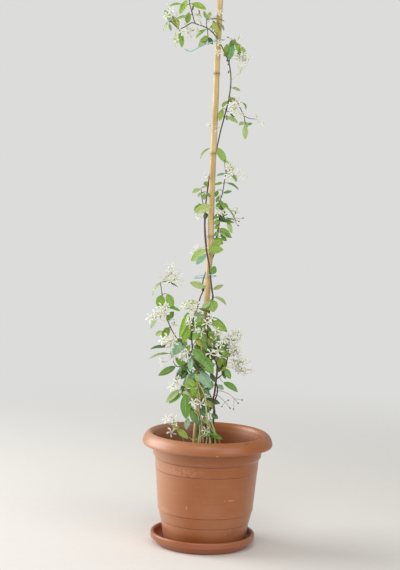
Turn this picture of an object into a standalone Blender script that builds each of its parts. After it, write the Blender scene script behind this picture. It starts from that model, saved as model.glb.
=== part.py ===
"""Potted star jasmine tied to a bamboo cane, with its plastic pot and saucer.

Metres, +Z up. The origin is the centre of the saucer's underside; the plant is seen along +Y.
Stem routes, leaves and blossoms are listed in millimetres, as x to the right, y away, z up.
"""

from math import cos, pi, radians, sin

import bmesh
import bpy
from mathutils import Quaternion, Vector
from mathutils.bvhtree import BVHTree

MM = 0.001
GAP = 0.3
FLAT_ANGLES = (0.3, 0.1, 0.03, 0.0)

# pot and saucer, in millimetres
POT_CENTRE_X = 4.0
POT_FOOT_Z = 3.3
POT_WALL = 2.8
POT_STEPS = 32
DRAIN_HOLE_RADIUS = 6.0
DRAIN_RING_RADIUS = 48.0
DRAIN_COUNT = 4
SAUCER_FLOOR = 3.0
SAUCER_STEPS = 32

# soil, cane and tie wire, in millimetres
SOIL_TOP_Z = 190.0
SOIL_BOTTOM_Z = 9.2
CANE_RADIUS = 6.2
CANE_NODE_RADIUS = 6.9
CANE_NODE_HEIGHTS = (282, 455, 623, 788, 945, 1100)
CANE_HOLE_EXTRA = 0.45
STEM_HOLE_EXTRA = 0.5
TIE_RADIUS = 0.8

# leaves and flowers, in millimetres
LEAF_THICKNESS = 1.3
LEAF_STATIONS = ((0.0, 0.09), (0.32, 0.94), (0.7, 0.84))
PETIOLE_RADIUS = 0.6
PETIOLE_LEAST = 3.0
TIP_INSET = 0.8
LEAF_KEEL = 0.2
STAR_RADIUS = 11.5
STAR_WAIST = 2.6
STAR_TWIST = radians(17)
STAR_DEPTH = 1.8
STAR_DROOP = 1.2
STALK_RADIUS = 0.8
PEDICEL_RADIUS = 0.45
TUBE_RADIUS = 1.1
FORK_SPREAD = 0.6

scene = bpy.context.scene
for old in list(bpy.data.objects):
    bpy.data.objects.remove(old, do_unlink=True)

plant = bpy.data.collections.new("potted_jasmine")
scene.collection.children.link(plant)
cutters = bpy.data.collections.new("cutters")
scene.collection.children.link(cutters)


def material(name, colour, roughness):
    """A plain Principled material."""
    made = bpy.data.materials.new(name)
    made.use_nodes = True
    shader = made.node_tree.nodes["Principled BSDF"]
    shader.inputs["Base Color"].default_value = (*colour, 1.0)
    shader.inputs["Roughness"].default_value = roughness
    shader.inputs["Metallic"].default_value = 0.0
    made.diffuse_color = (*colour, 1.0)
    return made


TERRACOTTA = material("terracotta_plastic", (0.42, 0.16, 0.08), 0.45)
SAUCER_CLAY = material("saucer_plastic", (0.36, 0.13, 0.06), 0.45)
SOIL = material("potting_soil", (0.05, 0.03, 0.02), 0.95)
BAMBOO = material("bamboo", (0.62, 0.42, 0.2), 0.5)
TIE_WIRE = material("tie_wire", (0.3, 0.6, 0.55), 0.4)
LEAF_GREEN = material("leaf_green", (0.16, 0.32, 0.07), 0.4)
YOUNG_GREEN = material("young_green", (0.3, 0.45, 0.15), 0.45)
PETAL_WHITE = material("petal_white", (0.86, 0.82, 0.7), 0.55)
SPENT_BROWN = material("spent_brown", (0.2, 0.13, 0.07), 0.8)


def mesh_object(name, mesh, finish, where):
    """Link a mesh as an object, with one material."""
    made = bpy.data.objects.new(name, mesh)
    where.objects.link(made)
    if finish:
        mesh.materials.append(finish)
    return made


def turned(name, profile, steps, centre_x, finish, where):
    """A profile of (radius, height) pairs, spun round its own upright axis."""
    mesh = bpy.data.meshes.new(name)
    points = [(r * MM, 0.0, z * MM) for r, z in profile]
    edges = [(i, i + 1) for i in range(len(points) - 1)]
    if profile[0][0] > 0.0:
        edges.append((len(points) - 1, 0))
    mesh.from_pydata(points, edges, [])
    made = mesh_object(name, mesh, finish, where)
    made.location.x = centre_x * MM
    spin = made.modifiers.new("turn", "SCREW")
    spin.axis = "Z"
    spin.steps = steps
    spin.render_steps = steps
    spin.use_merge_vertices = True
    spin.merge_threshold = 0.00005
    return made


def cylinder(name, radius, low, high, place, sides, where):
    """A plain cylinder cutter that stands upright at place."""
    mesh = bpy.data.meshes.new(name)
    form = bmesh.new()
    bmesh.ops.create_cone(form, cap_ends=True, segments=sides, radius1=radius * MM,
                          radius2=radius * MM, depth=(high - low) * MM)
    form.to_mesh(mesh)
    form.free()
    made = mesh_object(name, mesh, None, where)
    made.location = (place[0] * MM, place[1] * MM, 0.5 * (low + high) * MM)
    return made


def as_cutter(made):
    """Mark an object as a cutter, which is no part of the model."""
    made.hide_render = True
    made.display_type = "WIRE"
    return made


def cut(target, cutter):
    """Take a cutter out of a target."""
    step = target.modifiers.new("cut", "BOOLEAN")
    step.operation = "DIFFERENCE"
    step.object = as_cutter(cutter)


def tube(name, points, radii, finish, where, resolution=1):
    """A closed tube along points, made from a bevelled curve and turned into a mesh."""
    curve = bpy.data.curves.new(name + "_curve", "CURVE")
    curve.dimensions = "3D"
    curve.bevel_depth = MM
    curve.bevel_resolution = resolution
    curve.use_fill_caps = True
    line = curve.splines.new("POLY")
    line.points.add(len(points) - 1)
    for spot, point, radius in zip(line.points, points, radii):
        spot.co = (*(Vector(point) * MM), 1.0)
        spot.radius = radius
    drawn = bpy.data.objects.new(name + "_curve", curve)
    where.objects.link(drawn)
    bpy.context.view_layer.update()
    ready = drawn.evaluated_get(bpy.context.evaluated_depsgraph_get())
    mesh = bpy.data.meshes.new_from_object(ready)
    mesh.name = name
    form = bmesh.new()
    form.from_mesh(mesh)
    bmesh.ops.remove_doubles(form, verts=form.verts, dist=0.00001)
    bmesh.ops.recalc_face_normals(form, faces=form.faces)
    form.to_mesh(mesh)
    form.free()
    mesh.materials.clear()
    made = mesh_object(name, mesh, finish, where)
    made.matrix_world = drawn.matrix_world
    bpy.data.objects.remove(drawn, do_unlink=True)
    bpy.data.curves.remove(curve)
    return made


def smooth_line(points, pieces):
    """Points on the Catmull-Rom curve through the given points, pieces to each span."""
    ends = [Vector(p) for p in points]
    ends = [2 * ends[0] - ends[1]] + ends + [2 * ends[-1] - ends[-2]]
    line = []
    for i in range(1, len(ends) - 2):
        a, b, c, d = ends[i - 1:i + 3]
        for k in range(pieces):
            t = k / pieces
            line.append(0.5 * (2 * b + (c - a) * t + (2 * a - 5 * b + 4 * c - d) * t ** 2
                               + (3 * b - a - 3 * c + d) * t ** 3))
    line.append(ends[-2])
    return line


def merge_flat_faces(mesh):
    """Join the neighbouring faces that a union leaves in one plane, within the widest angle, in
    degrees, that leaves the body closed."""
    for angle in FLAT_ANGLES:
        form = bmesh.new()
        form.from_mesh(mesh)
        bmesh.ops.dissolve_limit(form, angle_limit=radians(angle), verts=form.verts, edges=form.edges)
        bmesh.ops.triangulate(form, faces=form.faces)
        closed = all(len(edge.link_faces) == 2 for edge in form.edges)
        if closed:
            form.to_mesh(mesh)
        form.free()
        if closed:
            return


def join_all(base, repeats):
    """Union a collection into a base object, apply it, and remove the collection."""
    if repeats.objects:
        union = base.modifiers.new("join", "BOOLEAN")
        union.operation = "UNION"
        union.operand_type = "COLLECTION"
        union.collection = repeats
        union.solver = "MANIFOLD"
        bpy.context.view_layer.update()
        ready = base.evaluated_get(bpy.context.evaluated_depsgraph_get())
        joined = bpy.data.meshes.new_from_object(ready)
        base.modifiers.clear()
        old = base.data
        base.data = joined
        bpy.data.meshes.remove(old)
        merge_flat_faces(joined)
    for piece in list(repeats.objects):
        bpy.data.objects.remove(piece, do_unlink=True)
    bpy.data.collections.remove(repeats)


def make_pot():
    """The pot: rolled rim, three stepped bands, foot ring and drain holes."""
    outside = [(113.8, 226.6), (118.5, 228.5), (127.0, 222.0), (131.5, 210.0), (131.2, 205.5),
               (129.6, 203.6), (110.0, 203.0), (109.4, 182.5), (104.6, 176.0),
               (103.6, 155.0), (102.8, 153.8), (96.2, 72.0), (94.9, 71.0), (90.0, 50.0),
               (89.3, 49.0), (82.0, POT_FOOT_Z), (77.5, POT_FOOT_Z), (77.0, 6.0)]
    floor_under = 6.0
    floor_top = floor_under + POT_WALL
    hole = DRAIN_HOLE_RADIUS
    inside = [(hole, floor_under), (hole, floor_top), (78.5, floor_top), (86.4, 50.0),
              (92.4, 72.0), (100.2, 154.0), (101.2, 176.0), (106.2, 183.0), (108.0, 215.0)]
    pot = turned("pot", outside + inside, POT_STEPS, POT_CENTRE_X, TERRACOTTA, plant)
    for turn in range(DRAIN_COUNT):
        angle = pi / 4 + turn * 2 * pi / DRAIN_COUNT
        place = (POT_CENTRE_X + DRAIN_RING_RADIUS * cos(angle), DRAIN_RING_RADIUS * sin(angle))
        hole_cut = cylinder("drain_cutter", DRAIN_HOLE_RADIUS, 0.0, 16.0, place, 8, cutters)
        cut(pot, hole_cut)
    return pot


def make_saucer():
    """The saucer: a flat floor, a sloping wall and a rolled rim band."""
    profile = [(0.0, SAUCER_FLOOR), (88.5, SAUCER_FLOOR), (93.5, 6.0), (97.2, 13.0), (98.6, 23.4),
               (100.6, 25.2), (103.6, 25.2), (105.4, 23.0), (105.4, 14.2), (103.4, 12.2),
               (100.0, 12.0), (97.0, 5.0), (93.5, 1.0), (91.0, 0.0), (0.0, 0.0)]
    return turned("saucer", profile, SAUCER_STEPS, 0.0, SAUCER_CLAY, plant)


CANE_ROUTE = [(-33, 8, 16), (-22, 7, 190), (-19, 6, 240), (-11.5, 2, 358.5), (-7, 0, 515),
              (-4.5, 0, 595), (-5, 0, 694.5), (-5, 0, 793.5), (-4, 0, 891.5), (-4, 0, 970),
              (-2.5, 0, 1086.5), (-1, 0, 1185)]


def cane_at(height):
    """The cane's centre at a height, straight between the route's points."""
    for low, high in zip(CANE_ROUTE, CANE_ROUTE[1:]):
        if height <= high[2]:
            break
    share = (height - low[2]) / (high[2] - low[2])
    return Vector(low).lerp(Vector(high), share)


def cane_stations():
    """Heights and radii along the cane, with a raised ring at each node."""
    stations = [(point[2], CANE_RADIUS) for point in CANE_ROUTE]
    stations = [s for s in stations if all(abs(s[0] - n) > 12 for n in CANE_NODE_HEIGHTS)]
    for node in CANE_NODE_HEIGHTS:
        stations += [(node - 3.0, CANE_RADIUS), (node, CANE_NODE_RADIUS), (node + 2.5, CANE_RADIUS)]
    return sorted(stations)


def make_cane():
    """The bamboo cane."""
    stations = cane_stations()
    points = [cane_at(height) for height, _ in stations]
    return tube("bamboo_cane", points, [r for _, r in stations], BAMBOO, plant, 2)


def make_ties():
    """Two loops of soft wire round the cane and the stems, each with its loose ends."""
    upper = [(-68, -14, 990.5), (-59, -15, 986.5), (-53, -16, 987.5), (-41, -16, 994),
             (-26.5, -15.5, 1001), (-12.5, -14.2, 1006.5), (-3, -13.2, 1010), (5.5, -10.5, 1011.5),
             (9, -3, 1012), (3.5, 8, 1011.5), (-5.5, 9.5, 1010.5), (-13, 5, 1009), (-16, -3, 1006.5),
             (-14.5, -8.5, 1004)]
    lower = [(-34, -5, 541.5), (-25.5, -9, 544), (-15.5, -13, 546.5), (-7.5, -13.55, 547),
             (-2, -13.65, 547.5), (5, -12.4, 546.5), (9, -5, 545), (7.5, 6, 543), (-0.5, 15, 541),
             (-11.5, 17, 539.5), (-21.5, 13, 538.5), (-29.5, 5, 538.5), (-33.5, -1.5, 538.5)]
    for name, route in (("tie_upper", upper), ("tie_lower", lower)):
        line = smooth_line(route, 2)
        tube(name, line, [TIE_RADIUS] * len(line), TIE_WIRE, plant, 0)


# Each stem node: its finish, then its routes as (radius at the start, radius at the end, points).
# The first route stands in the soil or seats on a neighbour; the others grow out of the first.
STEMS = {
    "main_stem": (LEAF_GREEN, [
        (2.1, 1, [
            (17, -4, 165), (17, -4, 196), (16, -5, 220), (14.5, -6, 252.5), (15, -6, 277.5),
            (12.5, -6, 295), (15, -6, 310), (17, -5, 334.5), (18.5, -5, 356.5), (16, -8, 373),
            (4.5, -11, 389), (-0.5, -11, 404), (-3.5, -11, 439), (-2.5, -11.5, 468), (4.5, -11, 499.5),
            (2.5, -11, 516.5), (-1, -11, 539), (-5, -10.5, 566), (-10.5, -9.5, 591.5),
            (-15.5, -5, 623), (-17.5, 0, 653.5), (-17, 4, 679), (-15, 8, 707), (-11.5, 11, 741.5),
            (-5.5, 12, 774.5), (2, 10.5, 804.5), (7.5, 6, 832.5), (14, 2, 860), (21, 0, 890.5),
            (24.5, -1, 921), (24, -2, 944.5), (19, -4, 969.5), (11, -8, 985.5), (0.5, -11, 1005.5),
            (-13, -9, 1023.5), (-27, -5, 1034), (-47.5, -4, 1040.5), (-56, -4, 1042),
            (-65, -4, 1035.5), (-78, -5, 1028.5), (-85, -6, 1032), (-95, -7, 1041.5)]),
        (1.1, 0.8, [
            (22, 0, 897.5), (30.5, -3, 898.5), (38, -5, 891), (47.5, -7, 875), (53, -8, 863.5),
            (55.5, -9, 852.5)]),
        (0.7, 0.6, [
            (52, -8, 865), (64, -9, 860), (75.5, -9, 859.5)]),
        (1, 0.7, [
            (-48.5, -4, 1040.5), (-52, -5, 1048), (-55, -6, 1059), (-60, -6, 1075),
            (-61.5, -5, 1084.5), (-60, -4, 1107), (-57, -4, 1129.5)]),
        (0.8, 0.6, [
            (20, -4, 966.5), (21.5, -1, 988), (23, 0, 1011.5)]),
        (0.8, 0.6, [
            (-26, -5, 1033), (-27.5, -5, 1042), (-27.5, -6, 1050.5)]),
        (0.8, 0.6, [
            (-25, -5, 1033), (-24, -3, 1018.5), (-23, -1, 1009), (-22, 0, 1001.5)]),
        (0.9, 0.7, [
            (-16, 3, 678), (-21, -1, 686), (-24, -3, 697), (-25.5, -4, 707), (-26.5, -4, 717.5)]),
        (1.2, 0.7, [
            (16.5, -5, 336.5), (28.5, -6, 347), (34, -6, 357), (38, -4, 378.5), (40, -2, 403.5),
            (42, 0, 423.5)])]),
    "second_stem": (LEAF_GREEN, [
        (1.6, 0.9, [
            (14.5, -5.4, 339.5), (12, -5.6, 340), (5.5, -9, 349.5), (-5, -13, 361),
            (-20.5, -14, 371.5), (-27.5, -12, 377), (-35.5, -9, 386), (-33, -8, 398), (-34, -8, 411.5),
            (-35.5, -7, 437.5), (-33, -6, 456.5), (-25.5, -3, 480.5), (-21, 0, 499.5), (-16, 4, 514.5),
            (-17, 6, 532), (-10.5, 12, 555), (-0.5, 10.5, 576.5), (6, 6, 598), (8.5, 3, 623.5),
            (12.5, 0, 654.5), (12, -1, 668.5), (12, 0, 694), (16, 1, 710), (19, 1, 732),
            (21.5, 0, 750)]),
        (0.9, 0.8, [
            (-24.5, -13, 374), (-24.5, -15, 366.5), (-19.5, -16, 352.5)]),
        (1.2, 0.8, [
            (-35, -9, 388), (-45, -11, 397.5), (-60.5, -14, 416), (-72, -15, 434.5), (-78.5, -16, 448),
            (-84, -16, 465), (-88.5, -16, 481.5), (-92.5, -16, 498.5), (-96, -16, 519.5),
            (-98, -16, 530)]),
        (1, 0.7, [
            (-28.5, -12, 377), (-42, -6, 366.5), (-53.5, -3, 359), (-63, 0, 356.5), (-70, 0, 362.5),
            (-76, 0, 376.5), (-80.5, -1, 393)])]),
    "young_shoot_left": (YOUNG_GREEN, [
        (1.3, 0.8, [
            (-10, -20, 165), (-10, -20, 196), (-12, -21, 241.5), (-15, -21, 256.5), (-18, -22, 277),
            (-23, -22, 289), (-30, -22, 296.5), (-35, -21, 304.5), (-40.5, -20, 314.5),
            (-42, -20, 330.5), (-39, -21, 346.5)]),
        (0.8, 0.7, [
            (-16, -21, 267), (-21, -24, 275), (-26, -26, 279.5)]),
        (0.8, 0.7, [
            (-34, -21, 303.5), (-42, -22, 307), (-48.5, -23, 309), (-52, -24, 318.5)])]),
    "young_shoot_middle": (YOUNG_GREEN, [
        (1.2, 0.7, [
            (8, -16, 165), (8, -16, 196), (8.5, -16, 231.5), (4.5, -17, 252), (1, -18, 268),
            (-2, -19, 283), (-3, -19, 295.5), (-6, -20, 313.5), (-10, -22, 320.5), (-15, -23, 327.5)])]),
    "young_shoot_right": (YOUNG_GREEN, [
        (1.2, 0.7, [
            (19, -13, 165), (19, -13, 196), (18, -13, 232.5), (15.5, -13, 240.5), (11.5, -13, 251.5),
            (7, -12, 263), (5, -11.5, 277)])]),
    "low_shoot": (YOUNG_GREEN, [
        (1.1, 0.7, [
            (-38, -22, 165), (-38, -22, 196), (-45, -24, 219), (-52.5, -26, 233), (-58.5, -27, 240.5)])])}

# Leaves of each node, one row each: the blade's base x, y, z; the way it points in the view from the
# front, in degrees from +X towards +Z; length; width; how far it leans to the front, how far it
# arches from base to tip, and how far its face turns away from the front, in degrees.
LEAVES = {
    "main_stem": [
        (-75.5, -8, 1076, 193, 27, 12, 10, 60, 60), (-66.5, -8, 1085, 247, 33, 15, 15, 20, 35),
        (-57, -9, 1078.5, 339, 33, 15, 10, 50, 35), (-54, -8, 1063, 79, 11, 4, 10, 0, 20),
        (-65, -7, 1040, 78, 23, 12, 20, 10, 10), (-70.5, -8, 1053, 196, 15, 9, 0, 10, 45),
        (-97.5, -9, 1044, 119, 22, 12, 10, 30, 30), (-101, -8, 1040, 244, 21, 7, -10, 30, 40),
        (-98, -10, 1036.5, 286, 16, 7, 20, 10, 30), (-80, -4, 1030.5, 119, 27, 14, -20, 10, 20),
        (-77, -8, 1022.5, 279, 33, 12, 15, 20, 25), (-80.5, -3, 1021, 256, 29, 10, -10, 20, 60),
        (-27.5, -10, 1030.5, 226, 30, 13, 15, 70, 50), (-24.5, -8, 1017, 233, 28, 14, 10, 15, 10),
        (-22.5, 3, 1016, 303, 17, 9, -25, 15, 10), (-27.5, -8, 1048.5, 107, 14, 7, 0, 10, 60),
        (-26, -9, 1049, 67, 15, 9, 0, 10, 40), (-21.5, -15, 1050.5, 351, 33, 11, 14, 50, 65),
        (-11.5, -14, 1034, 309, 20, 11, 12, 20, 30), (-13.5, -17, 1047, 290, 27, 12, 10, 15, 20),
        (20, -6, 974, 85, 37, 17, -6, 12, 8), (27.5, -2, 1010, 296, 33, 14, -6, 70, 45),
        (13.5, -12, 986, 85, 18, 9, 15, 10, 10), (27.5, -4, 919, 338, 19, 10, 10, 50, 50),
        (24, -4, 901.5, 281, 15, 7, 20, 10, 10), (19, -3, 892, 235, 18, 10, 20, 60, 40),
        (10, -2, 876.5, 259, 26, 12, 15, 20, 18), (18, -2, 862, 332, 29, 13, 15, 40, 50),
        (53, -13, 852.5, 217, 13, 8, 20, 20, 20), (56, -10, 845.5, 273, 28, 12, 12, 15, 10),
        (60, -9, 848, 14, 11, 6, -20, 10, 20), (48, -9, 891, 299, 19, 9, 10, 100, 65),
        (25, -2, 870, 322, 15, 7, -25, -40, 55), (-12, 13, 798.5, 230, 32, 11, 10, 80, 65),
        (2.5, 6, 800, 302, 37, 15, 18, 15, 15), (-27, -6, 719, 211, 19, 11, 15, 60, 40),
        (-26, -8, 710, 232, 11, 7, 10, 10, 20), (-19.5, -2, 709, 267, 15, 9, 25, 10, 10),
        (-15, 5, 723, 195, 13, 6, 10, 10, 50), (-4.5, -13.5, 685, 202, 37, 17, 12, 15, 10),
        (-23, -4, 686.5, 217, 22, 12, 15, 40, 45), (-7.5, -13.5, 597, 4, 31, 18, 12, 15, 28),
        (-15, -11, 598, 223, 37, 18, 12, 15, 10), (-12.5, -13, 588, 228, 30, 13, 24, 15, 20),
        (0.5, -14, 549.5, 66, 18, 14, 10, 10, 10), (-12, -14, 467.5, 208, 16, 10, 16, 15, 20),
        (5.5, -12, 519, 26, 22, 9, 10, 10, 15), (6.5, -13, 503, 330, 33, 12, 10, 85, 60),
        (-3.5, -15, 496.5, 290, 26, 21, 22, 15, 5), (-12, -17, 460, 200, 19, 12, 14, 20, 25),
        (3, -14, 463, 320, 44, 17, 8, 18, 28), (4.5, -20, 455, 328, 34, 17, 6, 12, 15),
        (-0.5, -14, 434.5, 310, 26, 15, 0, 15, 10), (19, -8, 410, 327, 17, 13, 10, 10, 20),
        (29, -2, 419, 353, 25, 9, 10, 60, 70), (8.5, -8, 395, 350, 15, 9, 0, 10, 20),
        (15, -11, 384.5, 302, 17, 10, 10, 10, 20), (26, 1, 381, 299, 23, 13, -15, 15, 10),
        (33.5, 2, 390, 343, 13, 9, -20, 20, 30), (34.5, -9, 359.5, 300, 24, 13, 18, 15, 10),
        (32.5, -8, 331.5, 329, 36, 15, 12, 60, 42), (12.5, -12, 327, 215, 15, 10, 20, 10, 20),
        (22, -8, 326, 321, 14, 10, 10, 10, 20), (20, 8, 359, 30, 30, 15, -62, 25, 20),
        (-10.5, -8, 448.5, 208, 20, 12, 10, 15, 15), (-18, 8, 669, 287, 17, 11, -45, 20, 20),
        (25, -6, 1003.5, 61, 11, 11, 0, 20, 20), (-14.5, 16, 722.5, 120, 26, 13, -65, 20, 20),
        (17, 12, 860.5, 347, 9, 11, -60, 20, 20), (16.5, -6, 980.5, 116, 17, 10, 62, 20, 20)],
    "second_stem": [
        (32, 0, 749, 305, 22, 11, 15, 80, 45), (19, -2, 749.5, 198, 17, 9, 15, 30, 55),
        (22, -1, 731, 333, 32, 10, 12, 70, 65), (18.5, 0, 730, 193, 19, 9, -20, 40, 55),
        (18, -1, 709.5, 12, 18, 8, 15, 30, 40), (9, -4, 704.5, 253, 16, 9, 30, 15, 40),
        (15, -3, 688.5, 336, 16, 12, 20, 10, 15), (9.5, -3, 691.5, 260, 18, 10, 35, 10, 20),
        (16, 1, 664.5, 20, 14, 7, -25, 10, 62), (19, -2, 654, 356, 24, 9, 10, 50, 50),
        (28.5, -4, 655, 292, 26, 10, 10, 15, 15), (19, 2, 688.5, 306, 48, 7, -8, 45, 60),
        (12.5, 0, 641, 324, 31, 15, 15, 20, 12), (15.5, 3, 630, 308, 15, 8, -20, 10, 20),
        (2.5, -3, 619, 334, 22, 15, 15, 15, 10), (-12.5, -2, 521.5, 164, 32, 14, 12, 15, 18),
        (-22.5, -6, 490, 189, 38, 14, 12, 60, 55), (-96.5, -13, 532, 239, 34, 13, 8, 75, 63),
        (-94, -10, 533.5, 340, 34, 11, -8, 50, 75), (-92, -19, 510, 260, 26, 19, 3, 15, 5),
        (-84.5, -19, 509, 298, 29, 16, 10, 20, 12), (-85.5, -18, 485.5, 343, 31, 12, 12, 35, 60),
        (-103, -16, 465.5, 246, 29, 9, -10, 20, 30), (-82, -18, 458.5, 53, 18, 12, 15, 10, 10),
        (-79, -13, 444, 240, 30, 16, -15, 15, 15), (-79.5, -2, 394, 188, 39, 12, 8, 60, 65),
        (-81, -3, 381.5, 197, 45, 11, 10, 50, 70), (-42, -10, 472.5, 253, 57, 15, 15, 22, 26),
        (-41, -14, 450.5, 257, 43, 18, 12, 18, 5), (-56.5, -18, 413.5, 248, 30, 20, 8, 18, 10),
        (-20, -14, 432, 232, 21, 14, 15, 15, 20), (-22, -15, 420, 294, 19, 13, 20, 15, 20),
        (-30.5, -16, 397.5, 314, 36, 22, 18, 20, 8), (-15.5, -22, 386.5, 308, 46, 23, 14, 20, 10),
        (-16.5, -20, 354.5, 307, 41, 22, 16, 20, 10), (-67.5, -3, 376, 320, 39, 15, 22, 18, 10),
        (-33.5, -16, 382.5, 268, 32, 13, 18, 15, 30), (-64.5, -1, 358, 209, 40, 14, 10, 18, 15),
        (-54.5, -6, 354.5, 306, 28, 14, -12, 15, 20), (-58, -3, 352.5, 258, 25, 10, -8, 15, 45),
        (-24.5, -12, 349, 227, 38, 16, -12, 18, 10), (-44, 2, 406.5, 200, 32, 16, -62, 25, 20),
        (-92.5, -8, 434, 215, 18, 10, -20, 20, 20), (-33, 2, 430.5, 130, 32, 16, -58, 25, 20),
        (-12, 10, 521.5, 242, 12, 9, 10, 15, 10), (12, 6, 664, 100, 24, 12, -65, 20, 20),
        (-74, 4, 379, 72, 11, 9, -20, 15, 20)],
    "young_shoot_left": [
        (-39.5, -23, 337.5, 323, 23, 13, 15, 15, 15), (-31.5, -24, 314, 332, 20, 13, 20, 12, 15),
        (-54, -25, 319, 225, 38, 15, 10, 30, 35), (-51, -25, 309.5, 219, 33, 13, 20, 25, 30),
        (-42.5, -26, 307.5, 274, 49, 22, 12, 18, 6), (-29, -28, 277, 285, 27, 13, 12, 15, 15),
        (-21, -25, 269, 289, 26, 12, 22, 15, 15), (-35.5, -27, 260.5, 264, 26, 12, 30, 15, 15),
        (-13.5, -24, 281.5, 306, 22, 12, 20, 15, 15), (-33.5, -16, 302, 160, 26, 13, -50, 20, 20)],
    "young_shoot_middle": [
        (-4.5, -23, 322.5, 301, 18, 11, 22, 10, 15), (-0.5, -22, 294.5, 323, 19, 12, 22, 10, 15),
        (-4.5, -21, 263, 295, 16, 11, 22, 10, 15), (2.5, -19, 224.5, 350, 35, 12, 20, 75, 58)],
    "young_shoot_right": [
        (10.5, -15, 268, 330, 17, 11, 20, 15, 15), (19, -16, 230.5, 226, 12, 10, -10, 20, 20)],
    "low_shoot": [
        (-56, -29, 240, 324, 30, 13, 20, 20, 12), (-59, -20, 237.5, 135, 11, 8, -30, 20, 20)]}

# Each spray: the node it grows from, the spot on that node's stem, the point where its pedicels part,
# and its blossoms' centres.
SPRAYS = {
    "spray_top_left": ("main_stem", (-89, -6.4, 1036), (-87.5, -14, 1046.5), [
        (-95.5, -24, 1061), (-102.5, -27, 1050.5)]),
    "spray_top_middle": ("main_stem", (-63, -4, 1037), (-64.5, -14, 1030.5), [
        (-72.5, -24, 1021.5), (-62.5, -26, 1020), (-55, -22, 1013.5)]),
    "spray_top_inner": ("main_stem", (-35.5, -4.5, 1037), (-36.5, -10, 1040), [
        (-39, -20, 1044.5)]),
    "spray_top_right": ("main_stem", (-27, -5, 1041.5), (-20, 0, 1052), [
        (-2.5, -17, 1064.5)]),
    "spray_cane_top": ("main_stem", (4.5, -10, 998.5), (3.5, -18, 996), [
        (-1, -25, 1005), (-2, -24, 985)]),
    "spray_right_top": ("main_stem", (22.5, -0.4, 1001), (27, 6, 1011.5), [
        (39, 0, 1020)]),
    "spray_right_upper": ("main_stem", (24.5, -1.5, 932.5), (42, -6, 948.5), [
        (47, -16, 985), (47, -15, 966.5), (60, -10, 981)]),
    "spray_fork": ("main_stem", (31, -3, 898.5), (33, -12, 887.5), [
        (28.5, -22, 883), (41, -20, 884), (46, -22, 867.5), (33.5, -24, 870.5)]),
    "spray_cane_middle": ("main_stem", (9, 5.2, 836.5), (2.5, -12, 840.5), [
        (-17.5, -18, 845.5)]),
    "spray_outer_right": ("main_stem", (75, -9, 859.5), (80, -10, 857.5), [
        (92, -14, 852)]),
    "spray_second_tip": ("second_stem", (21.5, 0, 747), (30, -8, 752.5), [
        (27.5, -17, 762), (34.5, -16, 753.5), (26.5, -18, 742.5), (48.5, -12, 754), (57.5, -10, 746.5)]),
    "spray_middle_front": ("second_stem", (12, -1, 668.5), (10.5, -12, 669.5), [
        (9.5, -22, 672)]),
    "spray_middle_left": ("main_stem", (-17.5, 1, 659.5), (-22, -4, 660.5), [
        (-29.5, -12, 662.5)]),
    "spray_waist_left": ("main_stem", (-12.5, -8, 602), (-22.5, -14, 601.5), [
        (-31, -20, 603.5), (-39, -18, 591.5)]),
    "spray_shoot_tip": ("second_stem", (-98, -16, 529.5), (-89, -25, 543.5), [
        (-80.5, -28, 566.5), (-74, -31, 557), (-61.5, -28, 551.5), (-68, -36, 543.5),
        (-58.5, -32, 538), (-77, -38, 536)]),
    "spray_shoot_middle": ("second_stem", (-87, -16, 476), (-94.5, -24, 472), [
        (-93.5, -34, 485.5), (-87, -36, 475), (-95, -38, 462.5), (-115, -28, 463), (-105, -32, 471)]),
    "spray_shoot_low": ("second_stem", (-66.5, -14.5, 425.5), (-73.5, -24, 419), [
        (-90, -30, 419), (-80.5, -34, 424.5), (-68, -34, 414), (-78, -36, 404), (-66, -39, 397.5)]),
    "spray_heart": ("second_stem", (-27, -3.5, 475.5), (-33.5, -14, 474.5), [
        (-51.5, -24, 486), (-42.5, -26, 490), (-33.5, -28, 480), (-26, -26, 488.5), (-36.5, -28, 467)]),
    "spray_heart_right": ("main_stem", (-3, -11.2, 456), (-4, -26, 453.5), [
        (4, -36, 464), (-4.5, -38, 452), (-14.5, -34, 435.5)]),
    "spray_cream": ("main_stem", (-1, -11, 406), (11, -26, 419.5), [
        (14, -37, 441), (25, -36, 433), (32, -34, 421), (25, -38, 411.5)]),
    "spray_right_far": ("main_stem", (41.5, -0.2, 420.5), (46, -2, 425.5), [
        (60, -8, 429.5)]),
    "spray_low_front": ("main_stem", (1, -11, 399), (7, -24, 399), [
        (5, -36, 392.5), (20, -34, 400)]),
    "spray_right_upper_haze": ("main_stem", (40, -2, 402.5), (46, -10, 403.5), [
        (49, -16, 411), (58, -24, 402.5), (45.5, -20, 392.5)]),
    "spray_right_lower_haze": ("main_stem", (36.5, -4.8, 371), (57.5, -9, 368.5), [
        (71, -20, 370), (52.5, -27, 368), (85, -17, 372), (73, -26, 352.5), (87, -14, 354)]),
    "spray_twig": ("second_stem", (-74.5, 0, 372.5), (-77.5, -8, 372), [
        (-96.5, -14, 363.5), (-71.5, -20, 380.5)]),
    "spray_elbow": ("second_stem", (-46, -11, 398.5), (-46.5, -20, 395), [
        (-50, -30, 382), (-40, -34, 391.5)]),
    "spray_young_left": ("young_shoot_left", (-52, -24, 318), (-52.5, -29, 328), [
        (-59.5, -38, 330.5), (-70, -32, 324.5)]),
    "spray_young_inner": ("young_shoot_left", (-19, -22, 281), (-19, -28, 286), [
        (-10.5, -38, 292), (-26.5, -43, 295.5)]),
    "spray_pot_left": ("low_shoot", (-58, -27, 239.5), (-62, -30, 245), [
        (-77.5, -36, 260.5), (-63.5, -40, 262), (-66.5, -42, 234.5)]),
    "spray_pot_middle": ("young_shoot_middle", (8.5, -16, 227.5), (4.5, -22, 229.5), [
        (0, -32, 237)])}

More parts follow.
